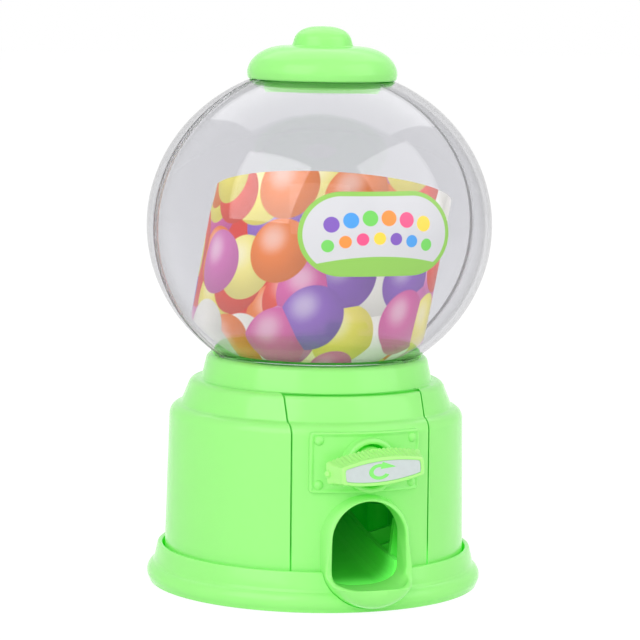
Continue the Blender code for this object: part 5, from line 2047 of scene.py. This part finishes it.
@dataclass
class GlobeLabel:
    """The pill-shaped sticker on the front of the globe."""

    globe: Globe
    half_width: float = 19.3
    half_height: float = 10.3
    shift: float = -0.4
    z: float = 89.7
    lift: float = 0.12
    thickness: float = 0.22
    side_steps: int = 24
    end_steps: int = 28
    ring_count: int = 9
    smooth_angle: float = 50.0
    dot_rows: tuple[DotRow, ...] = (DotRow(3.9, 1.9, 6, 4.6, 0), DotRow(-1.0, 1.5, 7, 4.1, 2))

    def outline(self, share: float) -> list[Point2]:
        """Draws a pill of arc lengths about the centre.

        Args:
            share: Its size, as a share of the label's.

        Returns:
            The points, as (round, up).
        """
        straight = self.half_width - self.half_height
        along = [straight * (1 - 2 * i / self.side_steps) for i in range(1, self.side_steps)]
        found = arc((straight, 0.0), self.half_height, -90, 90, self.end_steps)
        found += [(s, self.half_height) for s in along]
        found += arc((-straight, 0.0), self.half_height, 90, 270, self.end_steps)
        found += [(-s, -self.half_height) for s in along]
        return [(s * share, t * share) for s, t in found]

    def spot(self, s: float, t: float, lift: float) -> Point3:
        """Finds the place at arc lengths from the label's centre.

        Args:
            s: Arc length round the globe.
            t: Arc length up the globe.
            lift: Height above the globe's face.

        Returns:
            The place.
        """
        middle = math.asin((self.z - self.globe.z) / self.globe.half_height)
        rise = middle + t / (0.5 * (self.globe.radius + self.globe.half_height))
        reach = (self.globe.radius + lift) * math.cos(rise)
        turn = (s + self.shift) / self.globe.radius
        up = self.globe.z + (self.globe.half_height + lift) * math.sin(rise)
        return reach * math.sin(turn), -reach * math.cos(turn), up

    def side(
        self, bm: bmesh.types.BMesh, flat: dict[bmesh.types.BMVert, Point2], lift: float
    ) -> list[bmesh.types.BMVert]:
        """Adds one side of the sticker, ring by ring.

        Args:
            bm: The mesh.
            flat: Each point's place on the flat label, which is added to.
            lift: Height above the globe's face.

        Returns:
            The outermost ring.
        """
        rings = []
        for k in range(self.ring_count):
            ring = []
            for s, t in self.outline(1.0 - k / self.ring_count):
                vert = bm.verts.new(self.spot(s, t, lift))
                flat[vert] = (s, t)
                ring.append(vert)
            rings.append(ring)
        for near, far in zip(rings, rings[1:]):
            bridge(bm, near, far)
        middle = bm.verts.new(self.spot(0.0, 0.0, lift))
        flat[middle] = (0.0, 0.0)
        last = rings[-1]
        for i, vert in enumerate(last):
            bm.faces.new((vert, last[(i + 1) % len(last)], middle))
        return rings[0]

    def finish(self) -> bpy.types.Material:
        """Makes the label's print.

        Returns:
            The material.
        """
        dots = tuple(dot for row in self.dot_rows for dot in row.dots())
        size = (self.half_width, self.half_height)
        return LabelPrint("label_print", LABEL_WHITE, LABEL_GREEN, dots, *size).material()

    def build(self) -> None:
        """Makes the sticker with its own map in millimetres, and dresses it."""
        bm = bmesh.new()
        uv = bm.loops.layers.uv.new("sheet")
        flat: dict[bmesh.types.BMVert, Point2] = {}
        back = self.side(bm, flat, self.lift)
        front = self.side(bm, flat, self.lift + self.thickness)
        bridge(bm, back, front)
        lay_flat(bm, uv, flat)
        piece = wear(place("pill_label", bm, self.smooth_angle), self.finish())
        present(piece, Body.FRAME, ["globe_label"])


@dataclass
class InnerParts:
    """The frame's own nodes that stay as they are and only get a finish."""

    green: tuple[str, ...] = ("hopper", "drum_housing", "chute")
    white: tuple[str, ...] = ("drum",)

    def dress(self, finishes: Finishes, nodes: dict[str, bpy.types.Object]) -> None:
        """Gives each inner node its material.

        Args:
            finishes: The shared materials.
            nodes: The frame's nodes by name.
        """
        for name, obj in nodes.items():
            # The hopper, housing and chute get painted shade and glow.
            if name in self.green:
                wear(obj, finishes.green_painted_shade_and_glow)
            elif name in self.white:
                wear(obj, finishes.white)
            elif "screw" in name or "washer" in name:
                wear(obj, finishes.steel)
            else:
                continue
            LOG.info("node %s keeps its shape", name)


# Studio
@dataclass(frozen=True)
class SoftBox:
    """A large soft light that faces the object. Its place, size and aim are in metres."""

    name: str
    place: Point3
    size: Point2
    power: float
    shows: bool = True
    aim: Point3 = (0.0, 0.0, 0.07)

    def build(self) -> None:
        """Adds the light. One that doesn't show is left out of reflections."""
        light = bpy.data.lights.new(self.name, "AREA")
        light.shape = "RECTANGLE"
        light.size, light.size_y = self.size
        light.energy = self.power
        obj = bpy.data.objects.new(self.name, light)
        obj.location = self.place
        obj.rotation_euler = (Vector(self.aim) - Vector(self.place)).to_track_quat("-Z", "Y").to_euler()
        obj.visible_glossy = self.shows
        bpy.context.scene.collection.objects.link(obj)


@dataclass
class Studio:
    """Camera, lights, world and floor. Lengths are in metres, but for the sensor's millimetres."""

    distance: float = 0.745
    camera_z: float = 0.1527
    azimuth: float = -19.9
    pitch: float = 6.735
    roll: float = 1.07
    shift_pixels: float = 2.4
    focal_pixels: float = 3051.0
    frame_pixels: float = 640.0
    sensor: float = 36.0
    clip: Point2 = (0.05, 30.0)
    ambient: float = 0.38
    floor_half: float = 4.0
    floor_drop: float = 0.0002
    floor_colour: Colour = (0.86, 0.86, 0.86)
    floor_roughness: float = 0.6
    floor_glow: float = 1.1
    floor_glow_share: float = 0.85
    lights: tuple[SoftBox, ...] = (
        SoftBox("left_box", (-1.1, -0.62, 0.85), (1.2, 1.3), 11.0),
        SoftBox("right_box", (0.8, -0.75, 0.68), (1.1, 1.2), 6.2),
        SoftBox("front_fill", (-0.45, -1.25, 0.55), (1.0, 1.0), 6.5, shows=False),
        SoftBox("top_box", (0.25, 0.65, 1.35), (2.0, 1.3), 7.5),
    )

    def camera(self) -> None:
        """Puts the camera where the photograph was taken from."""
        data = bpy.data.cameras.new("camera")
        data.sensor_width = self.sensor
        data.lens = self.focal_pixels / self.frame_pixels * self.sensor
        data.shift_x = self.shift_pixels / self.frame_pixels
        data.clip_start, data.clip_end = self.clip
        obj = bpy.data.objects.new("camera", data)
        turn = math.radians(self.azimuth)
        obj.location = (self.distance * math.sin(turn), -self.distance * math.cos(turn), self.camera_z)
        look = Matrix.Rotation(turn, 4, "Z") @ Matrix.Rotation(math.radians(90 - self.pitch), 4, "X")
        obj.rotation_euler = (look @ Matrix.Rotation(math.radians(self.roll), 4, "Z")).to_euler()
        bpy.context.scene.collection.objects.link(obj)
        bpy.context.scene.camera = obj

    def seen_plainly(self, tree: bpy.types.NodeTree) -> bpy.types.NodeSocket:
        """Makes a factor that is 1 for rays from the camera, gloss and glass, and 0 for the rest.

        Args:
            tree: The node tree that it is added to.

        Returns:
            The factor.
        """
        rays = tree.nodes.new("ShaderNodeLightPath")
        total: bpy.types.NodeSocket = rays.outputs["Is Camera Ray"]
        for name in ("Is Glossy Ray", "Is Transmission Ray"):
            either = tree.nodes.new("ShaderNodeMath")
            either.operation = "MAXIMUM"
            tree.links.new(total, either.inputs[0])
            tree.links.new(rays.outputs[name], either.inputs[1])
            total = either.outputs[0]
        return total

    def world(self) -> None:
        """Makes a white room that lights the object softly."""
        world = bpy.data.worlds.new("white_room")
        world.use_nodes = True
        tree = world.node_tree
        background = tree.nodes["Background"]
        background.inputs["Color"].default_value = (1.0, 1.0, 1.0, 1.0)
        strength = tree.nodes.new("ShaderNodeMix")
        strength.inputs[2].default_value = self.ambient
        strength.inputs[3].default_value = 1.0
        tree.links.new(self.seen_plainly(tree), strength.inputs["Factor"])
        tree.links.new(strength.outputs[0], background.inputs["Strength"])
        bpy.context.scene.world = world

    def floor_finish(self) -> bpy.types.Material:
        """Makes a pale finish that shows white and keeps a faint shadow.

        Returns:
            The material.
        """
        shader = Shader("pale_floor")
        shader.set("Base Color", (*self.floor_colour, 1.0))
        shader.set("Roughness", self.floor_roughness)
        glow = shader.node("ShaderNodeEmission")
        glow.inputs["Strength"].default_value = self.floor_glow
        share = shader.math("MULTIPLY", self.seen_plainly(shader.tree), self.floor_glow_share)
        blend = shader.node("ShaderNodeMixShader")
        for socket, source in zip(blend.inputs, (share, shader.surface.outputs[0], glow.outputs[0])):
            shader.link(source, socket)
        shader.link(blend.outputs[0], shader.tree.nodes["Material Output"].inputs["Surface"])
        return shader.material

    def floor(self) -> None:
        """Lays the floor, just below the object."""
        half = self.floor_half
        mesh = bpy.data.meshes.new("floor")
        corners = [(-half, -half, 0.0), (half, -half, 0.0), (half, half, 0.0), (-half, half, 0.0)]
        mesh.from_pydata(corners, [], [(0, 1, 2, 3)])
        mesh.materials.append(self.floor_finish())
        obj = bpy.data.objects.new("floor", mesh)
        obj.location.z = -self.floor_drop
        bpy.context.scene.collection.objects.link(obj)

    def build(self) -> None:
        """Sets up everything that isn't the object."""
        bpy.context.scene.view_settings.view_transform = "Standard"
        self.camera()
        self.world()
        self.floor()
        for light in self.lights:
            light.build()


def main() -> None:
    """Builds the looks around the frame."""
    logging.basicConfig(level=logging.INFO, format="%(message)s")
    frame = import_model()
    finishes = Finishes()
    body = StepBody()
    mouth = Mouth(body)
    globe = Globe()
    Base().build(finishes, mouth)
    body.build(finishes)
    FrontPanel(body, mouth).build(finishes)
    Knob().build(finishes)
    globe.build(finishes)
    Lid(globe).build(finishes)
    PrintedSleeve(globe).build(finishes)
    GlobeLabel(globe).build()
    InnerParts().dress(finishes, frame["nodes"])
    Studio().build()


if __name__ == "__main__":
    main()
